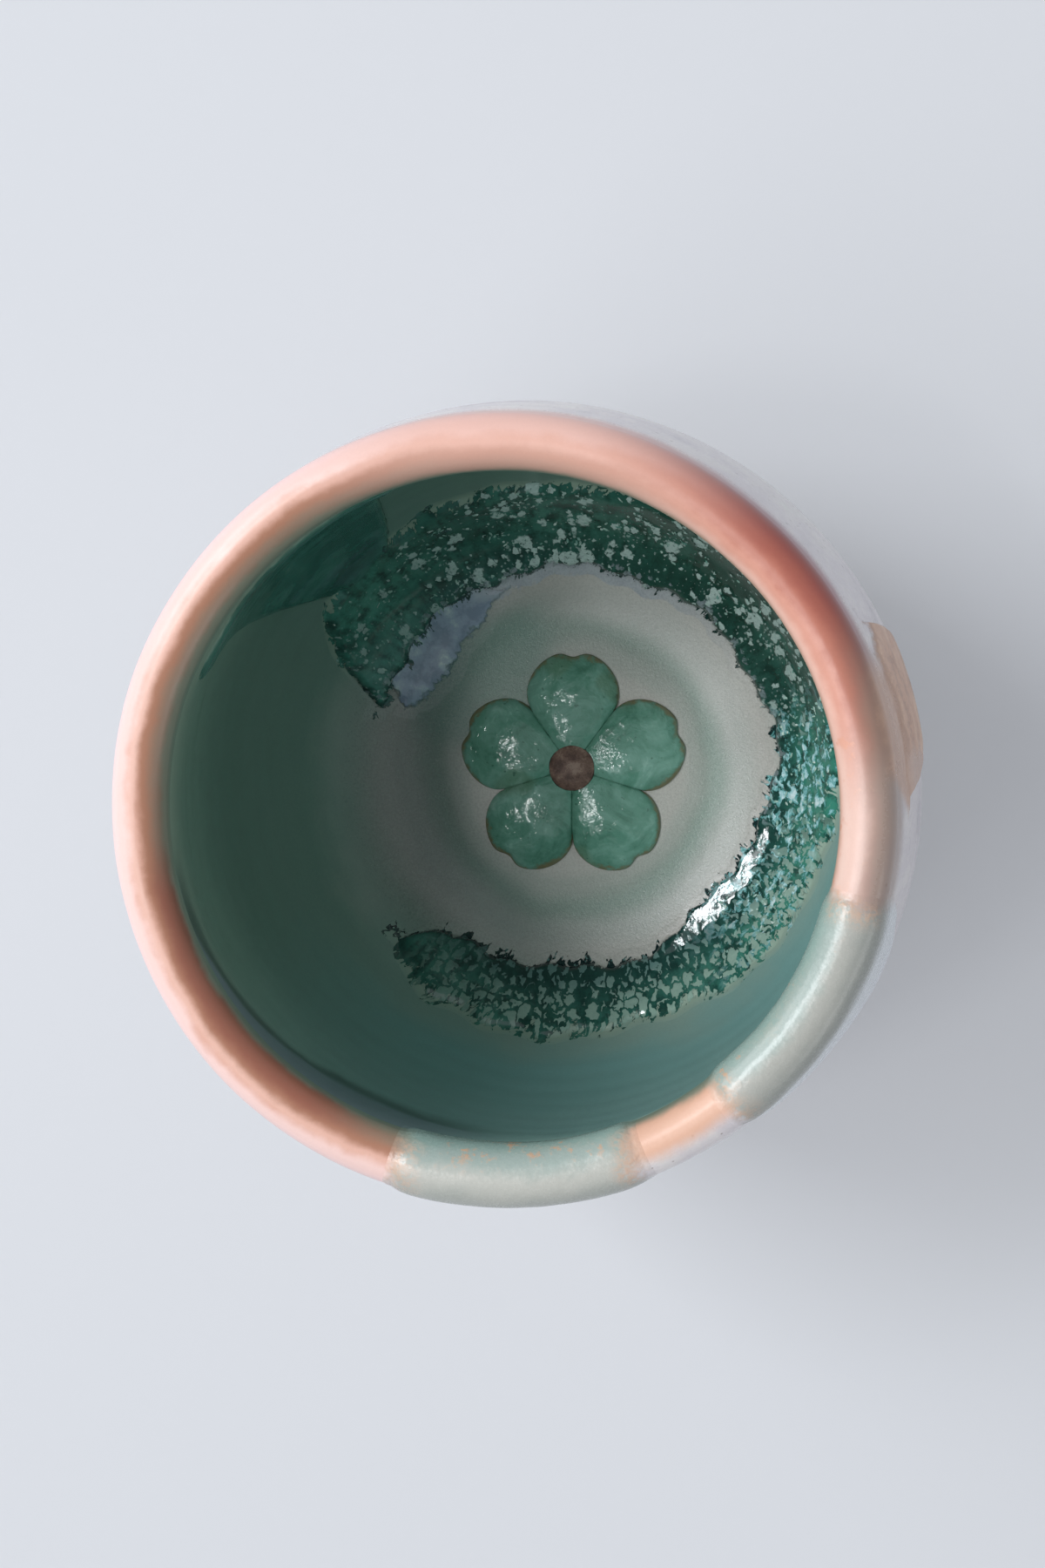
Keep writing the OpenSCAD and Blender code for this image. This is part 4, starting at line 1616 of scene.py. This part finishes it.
@dataclass
class GreenGlaze:
    """The crystalline ring, the run that feeds it and the grey pool inside it.

    A film goes on for its margin past its edge, level at first, and then dives into the coat.
    Ring and run share an edge at the run's foot, and each is open there by the lap.
    """

    shop: Workshop
    ring_gap: float = 11.0
    ring_w: float = 16.0
    ring_sway: float = 4.6
    ring_t: float = 1.2
    ring_turn: Span = (-134.0, 162.0)
    run_t: float = 0.9
    run_drop: float = 5.0
    run_turn: Span = (110.0, 158.0)
    run_foot: Span = (127.0, 140.0)
    run_tip_w: float = 6.0
    pool_t: float = 0.45
    pool_w: float = 6.0
    pool_turn: Span = (110.0, 160.0)
    pool_swell: float = 30.0
    margin: float = 2.6
    margin_level: float = 1.6
    lap: float = 8.0
    lap_margin: float = 0.4
    slope: float = 0.1
    bead_t: float = 1.6
    bead_least: float = 0.8
    bead_tilt: float = 17.0
    bead_w: float = 3.8
    bead_front: float = 0.15
    bead_a: float = -38.0
    bead_reach: float = 26.0
    ring_cols: int = 64
    run_cols: int = 120
    pool_cols: int = 48
    front: float = 0.7
    sink: float = 0.12
    dive: float = 0.09

    @property
    def run_top(self) -> float:
        """Distance along the line where the run starts."""
        return self.shop.line.throat_s - self.run_drop

    @property
    def ring_s(self) -> float:
        """Distance along the line where the ring nominally starts."""
        return self.shop.line.size.well_r + self.ring_gap

    def ring_low(self, a: Array) -> Array:
        """Inner edge of the ring: it swells in at the lower right and draws back above that."""
        bulge = 1.8 * np.exp(-((a - self.bead_a) / 20) ** 2) - 0.8 * np.exp(-((a - 8) / 14) ** 2)
        return self.ring_s - bulge + 0.5 * sin_deg(9 * a) + 0.35 * sin_deg(31 * a)

    def ring_high(self, a: Array) -> Array:
        """Outer edge of the ring."""
        return (self.ring_s + self.ring_w + self.ring_sway * cos_deg(a - 95)
                + 0.7 * sin_deg(7 * a + 40) + 0.6 * sin_deg(26 * a))

    def ring_edges(self, a: Array) -> tuple[Array, Array]:
        """Both edges of the ring, drawn in to its middle at one end and to its inner edge at the other.

        Args:
            a: Angles in degrees.

        Returns:
            Distances along the line of its inner and its outer edge.
        """
        low = self.ring_low(a)
        high = self.ring_high(a)
        tip = np.where(a < sum(self.ring_turn) / 2, (low + high) / 2, low)
        room = open_share(a, self.ring_turn, (16, 17))
        taper = 0.45 + 0.55 * ease(self.ring_turn[1] - a, 0, 20)
        return tip + (low - tip) * room, tip + (high - tip) * room * taper

    def joined(self, a: Array) -> Array:
        """1 where the ring and the run are one sheet, 0 elsewhere."""
        start, end = self.run_foot
        return ease(a, start - 2, start + 2) * (1 - ease(a, end - 5, end))

    def ring_inside(self, a: Array, s: Array) -> Array:
        """Distance inside the ring's edge."""
        low, high = self.ring_edges(a)
        return np.minimum(s - low, high - s + self.lap * self.joined(a))

    def run_low(self, a: Array) -> Array:
        """Lower edge of the run: down to the ring at its foot, up to the lip at both sides.

        Args:
            a: Angles in degrees.

        Returns:
            The distances along the line.
        """
        high = self.ring_high(a)
        away = 1 - ease(a, self.run_turn[0], self.run_foot[0])
        away = away + ease(a, self.run_foot[1], self.run_turn[1])
        return high + (self.run_top - self.run_tip_w - high) * away

    def run_high(self, a: Array) -> Array:
        """Upper edge of the run."""
        return self.run_top - 0.8 * (1 + sin_deg(13 * a))

    def run_edges(self, a: Array) -> tuple[Array, Array]:
        """Both edges of the run, drawn in at its ends."""
        room = open_share(a, self.run_turn, (6, 5))
        return drawn_in(self.run_low(a), self.run_high(a), np.maximum(room, self.joined(a)), room)

    def run_inside(self, a: Array, s: Array) -> Array:
        """Distance inside the run's edge."""
        low, high = self.run_edges(a)
        return np.minimum(s - low + self.lap * self.joined(a), high - s)

    def dip(self, inside: Array) -> Array:
        """How deep a film's margin dives under the coat beside it."""
        return self.dive * ease(-inside, self.margin - self.margin_level, self.margin)

    def risen(self, s: Array) -> Array:
        """How far the clay rises, up to distance s, above a surface that has the bead's tilt.

        Args:
            s: Distances along the line.

        Returns:
            The rises.
        """
        line = self.shop.line
        tilt = np.degrees(np.arctan2(-line.out_r, line.out_z))
        slope = np.tan(np.radians(np.clip(tilt - self.bead_tilt, 0, 45)))
        total = np.cumsum((slope[1:] + slope[:-1]) / 2 * np.diff(line.s))
        return np.interp(s, line.s[1:], total)

    def ring_look(self, a: Array, s: Array) -> Array:
        """Shares of web, shards and flecks in the ring.

        Args:
            a: Angles in degrees.
            s: Distances along the line.

        Returns:
            The shares at each place.
        """
        web = ease(a, -133, -124) * (0.45 + 0.55 * ease(a, -126, -98)) * (1 - ease(a, -28, 2))
        shards = ease(a, -60, -30) * (1 - ease(a, 4, 24))
        flecks = ease(a, 0, 22) * (0.66 + 0.34 * ease(a, 24, 56)) * (1 - 0.4 * ease(a, 112, 146))
        flecks = flecks * (1 - 0.6 * ease(s, 44, 50) * ease(a, 95, 118))
        return np.stack([web, shards, flecks], axis=-1)

    def build_ring(self) -> None:
        """Lay the ring and its crystals."""
        a = fan(self.ring_turn, beyond=5, rows=600)
        low, high = self.ring_edges(a)
        joined = self.joined(a)
        high = high + self.margin * (1 - joined) + self.lap_margin * joined

        def top(angle: Array, s: Array, inside: Array) -> Array:
            """Thickness of the ring, with a bead that pooled level on one side, and even with the run.

            Args:
                angle: Angles in degrees.
                s: Distances along the section line.
                inside: Distances inside the edge.

            Returns:
                The thicknesses.
            """
            start, border = self.ring_edges(angle)
            way = np.maximum(s - start, 0)
            rest = np.maximum(border - s + self.lap * self.joined(angle), 0)
            pooled = self.bead_t - self.risen(np.clip(s, start, start + self.bead_w)) + self.risen(start)
            here = np.exp(-((angle - self.bead_a) / self.bead_reach) ** 4)
            crest = self.ring_t + (np.maximum(pooled, self.bead_least) - self.ring_t) * here
            front = self.front + (self.bead_front - self.front) * here
            thick = FEATHER + (crest - FEATHER) * (1 - np.exp(-way / front)) * (1 - np.exp(-rest))
            level = ease(s, border - 4, border) * self.joined(angle)
            meet = self.run_t - self.slope * (s - border)
            return thick + (meet - thick) * level - self.dip(inside)

        ring = self.shop.film("crystal_ring", a, low - self.margin, high, self.ring_cols,
                              self.ring_inside, top, self.ring_look, sink=self.sink)
        self.shop.relief.run(ring, Lump=0.04, Lump_Size=4.0, Crystal=0.16)
        flakes = bpy.data.objects.new("crystal_flakes", ring.data.copy())
        bpy.context.scene.collection.objects.link(flakes)
        self.shop.bloom.run(flakes)
        self.shop.declare(ring, CrystalGreen(), "green_glaze_ring")
        self.shop.declare(flakes, FlakeGlaze())

    def build_run(self) -> None:
        """Lay the run."""
        a = fan(self.run_turn, beyond=3, rows=150)
        low, high = self.run_edges(a)
        joined = self.joined(a)
        low = low - self.margin * (1 - joined) - self.lap_margin * joined

        def top(angle: Array, s: Array, inside: Array) -> Array:
            """Thickness of the run, levelled to the ring where they meet.

            Args:
                angle: Angles in degrees.
                s: Distances along the section line.
                inside: Distances inside the edge.

            Returns:
                The thicknesses.
            """
            thick = swell(inside, self.run_t, 1.4)
            border = self.run_edges(angle)[0]
            level = (1 - ease(s, border, border + 2)) * self.joined(angle)
            meet = self.run_t + self.slope * (s - border)
            return thick + (meet - thick) * level - self.dip(inside)

        run = self.shop.film("green_run", a, low, high + self.margin, self.run_cols,
                             self.run_inside, top, sink=self.sink)
        self.shop.declare(run, DarkGreen(), "green_glaze_run", Lump=0.10, Lump_Size=5.0)

    def build_pool(self) -> None:
        """Lay the grey pool, under the ring's hooks."""
        a = fan(self.pool_turn, beyond=4, rows=150)
        first, last = self.pool_turn

        def edges(angle: Array) -> tuple[Array, Array]:
            """Both edges of the pool.

            Args:
                angle: Angles in degrees.

            Returns:
                Their distances along the line.
            """
            wide = 1 + ease(angle, first, first + self.pool_swell)
            low = self.ring_s - 0.5 * self.pool_w * wide + 0.4 * sin_deg(17 * angle)
            room = open_share(angle, self.pool_turn, (14, 8))
            return drawn_in(low, self.ring_low(angle), room, room)

        def inside(angle: Array, s: Array) -> Array:
            """Distance inside the pool's edge, open to the ring.

            Args:
                angle: Angles in degrees.
                s: Distances along the section line.

            Returns:
                The distances.
            """
            low, high = edges(angle)
            body = ease(angle, first + 2, first + 12) * (1 - ease(angle, last - 10, last - 2))
            return np.minimum(s - low, high - s + 3 * body)

        def look(angle: Array, s: Array) -> Array:
            """Distance inside the ring's edge, for the hooks that it sends over the pool."""
            room = np.minimum(self.ring_inside(angle, s), -0.2)
            return np.stack([room, 0 * s, 0 * s], axis=-1)

        low, high = edges(a)
        pool = self.shop.film("lavender_pool", a, low - 2.0, high + 1.2, self.pool_cols, inside,
                              lambda angle, s, room: swell(room, self.pool_t, 1.2), look)
        self.shop.declare(pool, GreyPool(), "grey_glaze_pool", Lump=0.06, Lump_Size=2.4)

    def build(self) -> None:
        """Lay all three."""
        self.build_ring()
        self.build_run()
        self.build_pool()


@dataclass
class PoursOutside:
    """The two pale pours over the lip and the ochre pour beside them."""

    shop: Workshop
    pour_t: float = 0.5
    pale_run: float = 20.0
    ochre_run: float = 34.0
    side: float = 5.0
    beyond: float = 2.5
    rows: int = 130
    cols: int = 110
    bridge: float = 0.04
    sink: float = 0.16
    dive: float = 0.11
    pale_turns: tuple[Span, ...] = ((-106.0, -67.0), (-51.0, -13.0))
    ochre_turn: Span = (2.5, 27.5)
    per_degree: float = 0.74

    def ran(self, a: Array, ends: Span, run: float, lean: float = 1.0) -> Array:
        """How much further a pour has run at an angle than at its sides.

        Args:
            a: Angles in degrees.
            ends: Where the pour starts and ends.
            run: How far it has run at its longest.
            lean: 1 for one that is longest in its middle, more for one that leans to its end.

        Returns:
            The lengths.
        """
        share = np.clip((a - ends[0]) / (ends[1] - ends[0]), 0.0, 1.0) ** lean
        return (run - self.side) * np.maximum(sin_deg(180 * share), 0) ** 0.6

    def pale_edges(self, a: Array, ends: Span) -> tuple[Array, Array]:
        """Where a pale pour starts inside the lip and how far it runs down outside.

        Args:
            a: Angles in degrees.
            ends: Where the pour starts and ends round the cup.

        Returns:
            Distances along the line of its upper and its lower edge.
        """
        line = self.shop.line
        low = line.throat_s - 2 + 0.8 * sin_deg(8 * a)
        high = (line.shoulder_s + self.side
                + self.ran(a, ends, self.pale_run) * (0.82 + 0.18 * sin_deg(13 * a + 30)))
        return low, high

    def pour(self, name: str, a: Array, low: Array, high: Array,
             inside: Callable[[Array, Array], Array]) -> bpy.types.Object:
        """A film that dives under the coat outside its edge.

        Args:
            name: Name of the piece.
            a: Angle of each row in degrees.
            low: Distance along the section line of each row's first point.
            high: The same of its last point.
            inside: Distance inside the edge at an angle and a distance.

        Returns:
            The piece.
        """
        def top(angle: Array, s: Array, room: Array) -> Array:
            """Thickness at a distance inside the edge."""
            return swell(room, self.pour_t, 1.2) - self.dive * ease(-room, 0.3, 1.2)

        return self.shop.film(name, a, low, high, self.cols, inside, top, lift=self.bridge,
                              sink=self.sink)

    def build_pale(self) -> None:
        """Lay the pale pours as one piece."""
        parts = []
        for number, turn in enumerate(self.pale_turns):
            def inside(angle: Array, s: Array, ends: Span = turn) -> Array:
                """Distance inside the pour's edge.

                Args:
                    angle: Angles in degrees.
                    s: Distances along the section line.
                    ends: Where the pour starts and ends round the cup.

                Returns:
                    The distances.
                """
                start, stop = self.pale_edges(angle, ends)
                sides = np.minimum(angle - ends[0], ends[1] - angle) * self.per_degree
                return np.minimum(np.minimum(s - start, stop - s), sides)

            a = fan(turn, self.beyond, self.rows)
            low, high = self.pale_edges(a, turn)
            parts.append(self.pour(f"pale_pour_{number}", a, low - 1.0, high + 1.5, inside))
        pours = self._join("pale_pours", parts)
        self.shop.declare(pours, PaleCeladon(lip=self.shop.lip), "lip_pour", Lump=0.06, Lump_Size=4.0)

    def build_ochre(self) -> None:
        """Lay the ochre pour."""
        def edges(angle: Array) -> tuple[Array, Array]:
            """Upper and lower edge of the pour.

            Args:
                angle: Angles in degrees.

            Returns:
                Their distances along the line.
            """
            low = self.shop.line.lip_end - 3 + 1.2 * sin_deg(9 * angle)
            high = low + self.side + self.ran(angle, self.ochre_turn, self.ochre_run, lean=1.3)
            room = open_share(angle, self.ochre_turn, (3, 6))
            return drawn_in(low, high, room, room)

        def inside(angle: Array, s: Array) -> Array:
            """Distance inside the pour's edge."""
            low, high = edges(angle)
            return np.minimum(s - low, high - s)

        a = fan(self.ochre_turn, self.beyond, self.rows)
        low, high = edges(a)
        pour = self.pour("ochre_pour", a, low - 1.5, high + 1.5, inside)
        self.shop.declare(pour, OchrePour(lip=self.shop.lip), "side_pour", Lump=0.06, Lump_Size=4.0)

    @staticmethod
    def _join(name: str, parts: Sequence[bpy.types.Object]) -> bpy.types.Object:
        """One object of several meshes.

        Args:
            name: Name of the object.
            parts: The objects.

        Returns:
            The object.
        """
        for part in bpy.context.scene.objects:
            part.select_set(part in parts)
        bpy.context.view_layer.objects.active = parts[0]
        bpy.ops.object.join()
        parts[0].name = name
        return parts[0]

    def build(self) -> None:
        """Lay the pours."""
        self.build_pale()
        self.build_ochre()


@dataclass
class Blossom:
    """Five thick glossy petals round a brown eye, in the middle of the floor."""

    shop: Workshop
    radius: float = 15.6
    petal_h: float = 2.2
    petals: int = 5
    notch: float = 0.62
    eye_r: float = 3.0
    eye_h: float = 1.5
    eye_dome: float = 0.7
    bridge: float = 0.04
    edge_t: float = 0.12
    petal_rows: int = 100
    petal_cols: int = 40
    dome_steps: int = 15
    side_heights: tuple[float, ...] = (1.2, 0.9, 0.6, 0.3, 0.0)
    base_shares: tuple[float, ...] = (0.66, 0.33, 0.0)

    @property
    def base(self) -> float:
        """Height of the floor's glaze, on which the blossom lies."""
        return self.shop.line.floor_z + self.shop.line.size.liner_t

    def lobe(self, a: Array) -> Array:
        """1 at the middle of a petal, 0 between two."""
        return np.abs(cos_deg(self.petals * a / 2))

    def reach(self, a: Array) -> Array:
        """Radius of the outline at an angle from the middle of a petal, with a cleft there.

        Args:
            a: Angles in degrees.

        Returns:
            The radii.
        """
        away = np.abs(np.degrees(np.arcsin(sin_deg(self.petals * a / 2))) * 2 / self.petals)
        return (self.radius * (self.notch + (1 - self.notch) * self.lobe(a) ** 0.6)
                * (1 - 0.05 * np.exp(-(away / 5) ** 2)))

    def rise(self, a: Array, f: Array) -> Array:
        """Height of the petals from the eye, f = 0, to the outline, f = 1."""
        return self.edge_t + ((self.petal_h - self.edge_t) * (0.55 + 0.45 * np.sqrt(self.lobe(a)))
                              * np.sqrt(np.maximum(0, sin_deg(40 + 140 * f))))

    def build_petals(self) -> None:
        """Shape the petals."""
        rows = self.petal_rows * self.petals
        share = 1 - (1 - np.linspace(0, 1, self.petal_cols + 1)) ** 1.5
        a = np.repeat((np.arange(rows) * 360.0 / rows)[:, None], len(share), axis=1)
        inner = self.eye_r + self.bridge
        way = self.reach(a) - inner
        top = round_axis(a + 90, inner + way * share, self.base + self.rise(a, share))
        bottom = top.copy()
        bottom[:, :, 2] = self.base
        wall = np.stack([np.radians(a) * WALL_R, share + 0 * a, (1 - share) * way], axis=-1)
        petals = MeshMaker.sheet("blossom", top, bottom, wall, 0 * wall, whole=True)
        self.shop.declare(petals, PetalGreen(), "blossom_petals", Lump=0.26, Lump_Size=3.4)

    def build_eye(self) -> None:
        """Turn the eye."""
        ball = (self.eye_r ** 2 + self.eye_dome ** 2) / (2 * self.eye_dome)
        top = self.eye_h + self.eye_dome
        turn = np.linspace(90, math.degrees(math.acos(self.eye_r / ball)), self.dome_steps + 1)
        section = [(ball * cos_deg(t), top - ball + ball * sin_deg(t)) for t in turn]
        section[0] = (0.0, top)
        section += [(self.eye_r, height) for height in self.side_heights]
        section += [(self.eye_r * share, 0.0) for share in self.base_shares]
        rows = np.array([(r, self.base + z, 0.0) for r, z in section])
        eye = MeshMaker.turned("blossom_eye_drop", rows, loop=False)
        self.shop.declare(eye, IronEye(), "blossom_eye")

    def build(self) -> None:
        """Shape petals and eye."""
        self.build_petals()
        self.build_eye()


class RayKind(Enum):
    """Rays that see the pale studio rather than its light."""

    CAMERA = "Is Camera Ray"
    GLOSSY = "Is Glossy Ray"
    TRANSMISSION = "Is Transmission Ray"


class Lamp(NamedTuple):
    """A soft window of light that faces the cup.

    It hangs at polar degrees from straight up and turn degrees round the cup. It is wide metres
    round the cup and tall metres towards the zenith, with its power in watts.
    """

    name: str
    polar: float
    turn: float
    wide: float
    tall: float
    power: float
    colour: Colour = (1.0, 1.0, 1.0)


LAMPS = (
    Lamp("key", 32.0, 204.0, 0.8, 0.5, 4.6, (0.98, 0.985, 1.0)),
    Lamp("pane", 34.5, 154.0, 0.48, 0.32, 8.4, (0.95, 0.975, 1.0)),
    Lamp("side", 60.0, 150.0, 0.6, 0.5, 4.4, (0.97, 0.98, 1.0)),
    Lamp("fill", 76.0, -32.0, 0.8, 0.34, 1.6),
    Lamp("glint", 18.0, 196.0, 0.16, 0.10, 1.4),
)


@dataclass
class Studio:
    """Pale floor, soft lamps and the camera: lengths in metres, the camera's own in millimetres."""

    floor_r: float = 2.6
    floor_steps: int = 96
    floor_rings: tuple[float, ...] = (0.0, 0.2, 1.0)
    cove_r: float = 1.0
    cove_h: float = 2.4
    cove_steps: int = 14
    lamp_far: float = 1.3
    lamp_aim: float = 0.05
    floor_colour: Colour = field(default_factory=lambda: shade(222, 224, 228))
    glow_colour: Colour = field(default_factory=lambda: shade(178, 180, 184))
    glow: float = 0.42
    sky: float = 0.53
    focal: float = 60.8
    sensor: float = 36.0
    cup_axis: Vec3 = (-0.131, -0.0729, 0.9887)
    mouth: Vec3 = (-3.041, -3.222, -281.0)
    mouth_z: float = 86.9

    def build_floor(self) -> None:
        """Lay a round floor that curves up into a backdrop."""
        section = [(r, 0.0) for r in self.floor_rings]
        section += [(self.floor_r + self.cove_r * cos_deg(t), self.cove_r + self.cove_r * sin_deg(t))
                    for t in np.linspace(-90, 0, self.cove_steps + 1)]
        section += [(self.floor_r + self.cove_r, self.cove_h)]
        r, z = np.array(section).T
        steps = self.floor_steps
        points = round_axis((360.0 * np.arange(steps) / steps)[:, None], r, z).reshape(-1, 3)
        table = np.arange(len(points)).reshape(steps, len(section))
        table[:, 0] = 0
        table = np.concatenate([table, table[:1]], axis=0)
        mesh = bpy.data.meshes.new("studio_floor")
        mesh.from_pydata(points.tolist(), [], MeshMaker.quads(table))
        mesh.shade_smooth()
        floor = bpy.data.objects.new("studio_floor", mesh)
        bpy.context.scene.collection.objects.link(floor)
        mesh.materials.append(self.floor_material())

    def floor_material(self) -> bpy.types.Material:
        """Matt pale paper that the camera sees a little lighter than it lights the cup.

        Returns:
            The material.
        """
        made, w = blank("studio_paper")
        paper = w.add("ShaderNodeBsdfDiffuse", {"Color": self.floor_colour})
        light = w.add("ShaderNodeEmission", {"Color": self.glow_colour, "Strength": 1.0})
        path = w.add("ShaderNodeLightPath").outputs
        seen = w.most(*(path[kind.value] for kind in RayKind)) * self.glow
        mixed = w.add("ShaderNodeMixShader", {0: seen, 1: paper.outputs[0], 2: light.outputs[0]})
        w.add("ShaderNodeOutputMaterial", {"Surface": mixed.outputs[0]})
        return made

    def hang(self, lamp: Lamp) -> None:
        """Hang a lamp at its place.

        Args:
            lamp: The lamp.
        """
        light = bpy.data.lights.new(lamp.name, "AREA")
        light.shape = "RECTANGLE"
        light.size = lamp.wide
        light.size_y = lamp.tall
        light.energy = lamp.power
        light.color = lamp.colour
        hung = bpy.data.objects.new(lamp.name, light)
        way = Vector(round_axis(lamp.turn, sin_deg(lamp.polar), cos_deg(lamp.polar)).tolist())
        hung.location = way * self.lamp_far + Vector((0, 0, self.lamp_aim))
        hung.rotation_euler = way.to_track_quat("Z", "Y").to_euler()
        bpy.context.scene.collection.objects.link(hung)

    def build_lights(self) -> None:
        """Hang the lamps and set the sky."""
        for lamp in LAMPS:
            self.hang(lamp)
        world = bpy.data.worlds.new("studio_air")
        bpy.context.scene.world = world
        world.use_nodes = True
        world.node_tree.nodes.clear()
        w = NodeWriter(world.node_tree)
        back = w.add("ShaderNodeBackground", {"Color": shade(238, 243, 250), "Strength": self.sky})
        w.add("ShaderNodeOutputWorld", {"Surface": back.outputs[0]})

    def build_camera(self) -> None:
        """Set the camera where the photograph's stood, by the way that the cup's axis points in it."""
        axis = Vector(self.cup_axis).normalized()
        right = (Vector((1, 0, 0)) - axis[0] * axis).normalized()
        up = axis.cross(right)
        turn = Matrix((right, up, axis))
        place = turn @ -Vector(self.mouth) + Vector((0, 0, self.mouth_z))
        data = bpy.data.cameras.new("photo_camera")
        data.lens = self.focal
        data.sensor_width = self.sensor
        data.clip_start = 0.01
        data.clip_end = 50.0
        camera = bpy.data.objects.new("photo_camera", data)
        camera.matrix_world = Matrix.Translation(place * MM) @ turn.to_4x4()
        bpy.context.scene.collection.objects.link(camera)
        bpy.context.scene.camera = camera

    def build(self) -> None:
        """Set the studio up."""
        self.build_floor()
        self.build_lights()
        self.build_camera()
        bpy.context.scene.view_settings.view_transform = "Standard"


def main() -> None:
    """Build the studio and the cup."""
    logging.basicConfig(level=logging.INFO, format="%(name)s %(message)s")
    Studio().build()
    shop = Workshop()
    ClayBody(shop).build()
    TurnedCoats(shop).build()
    GreenGlaze(shop).build()
    PoursOutside(shop).build()
    Blossom(shop).build()


if __name__ == "__main__":
    main()
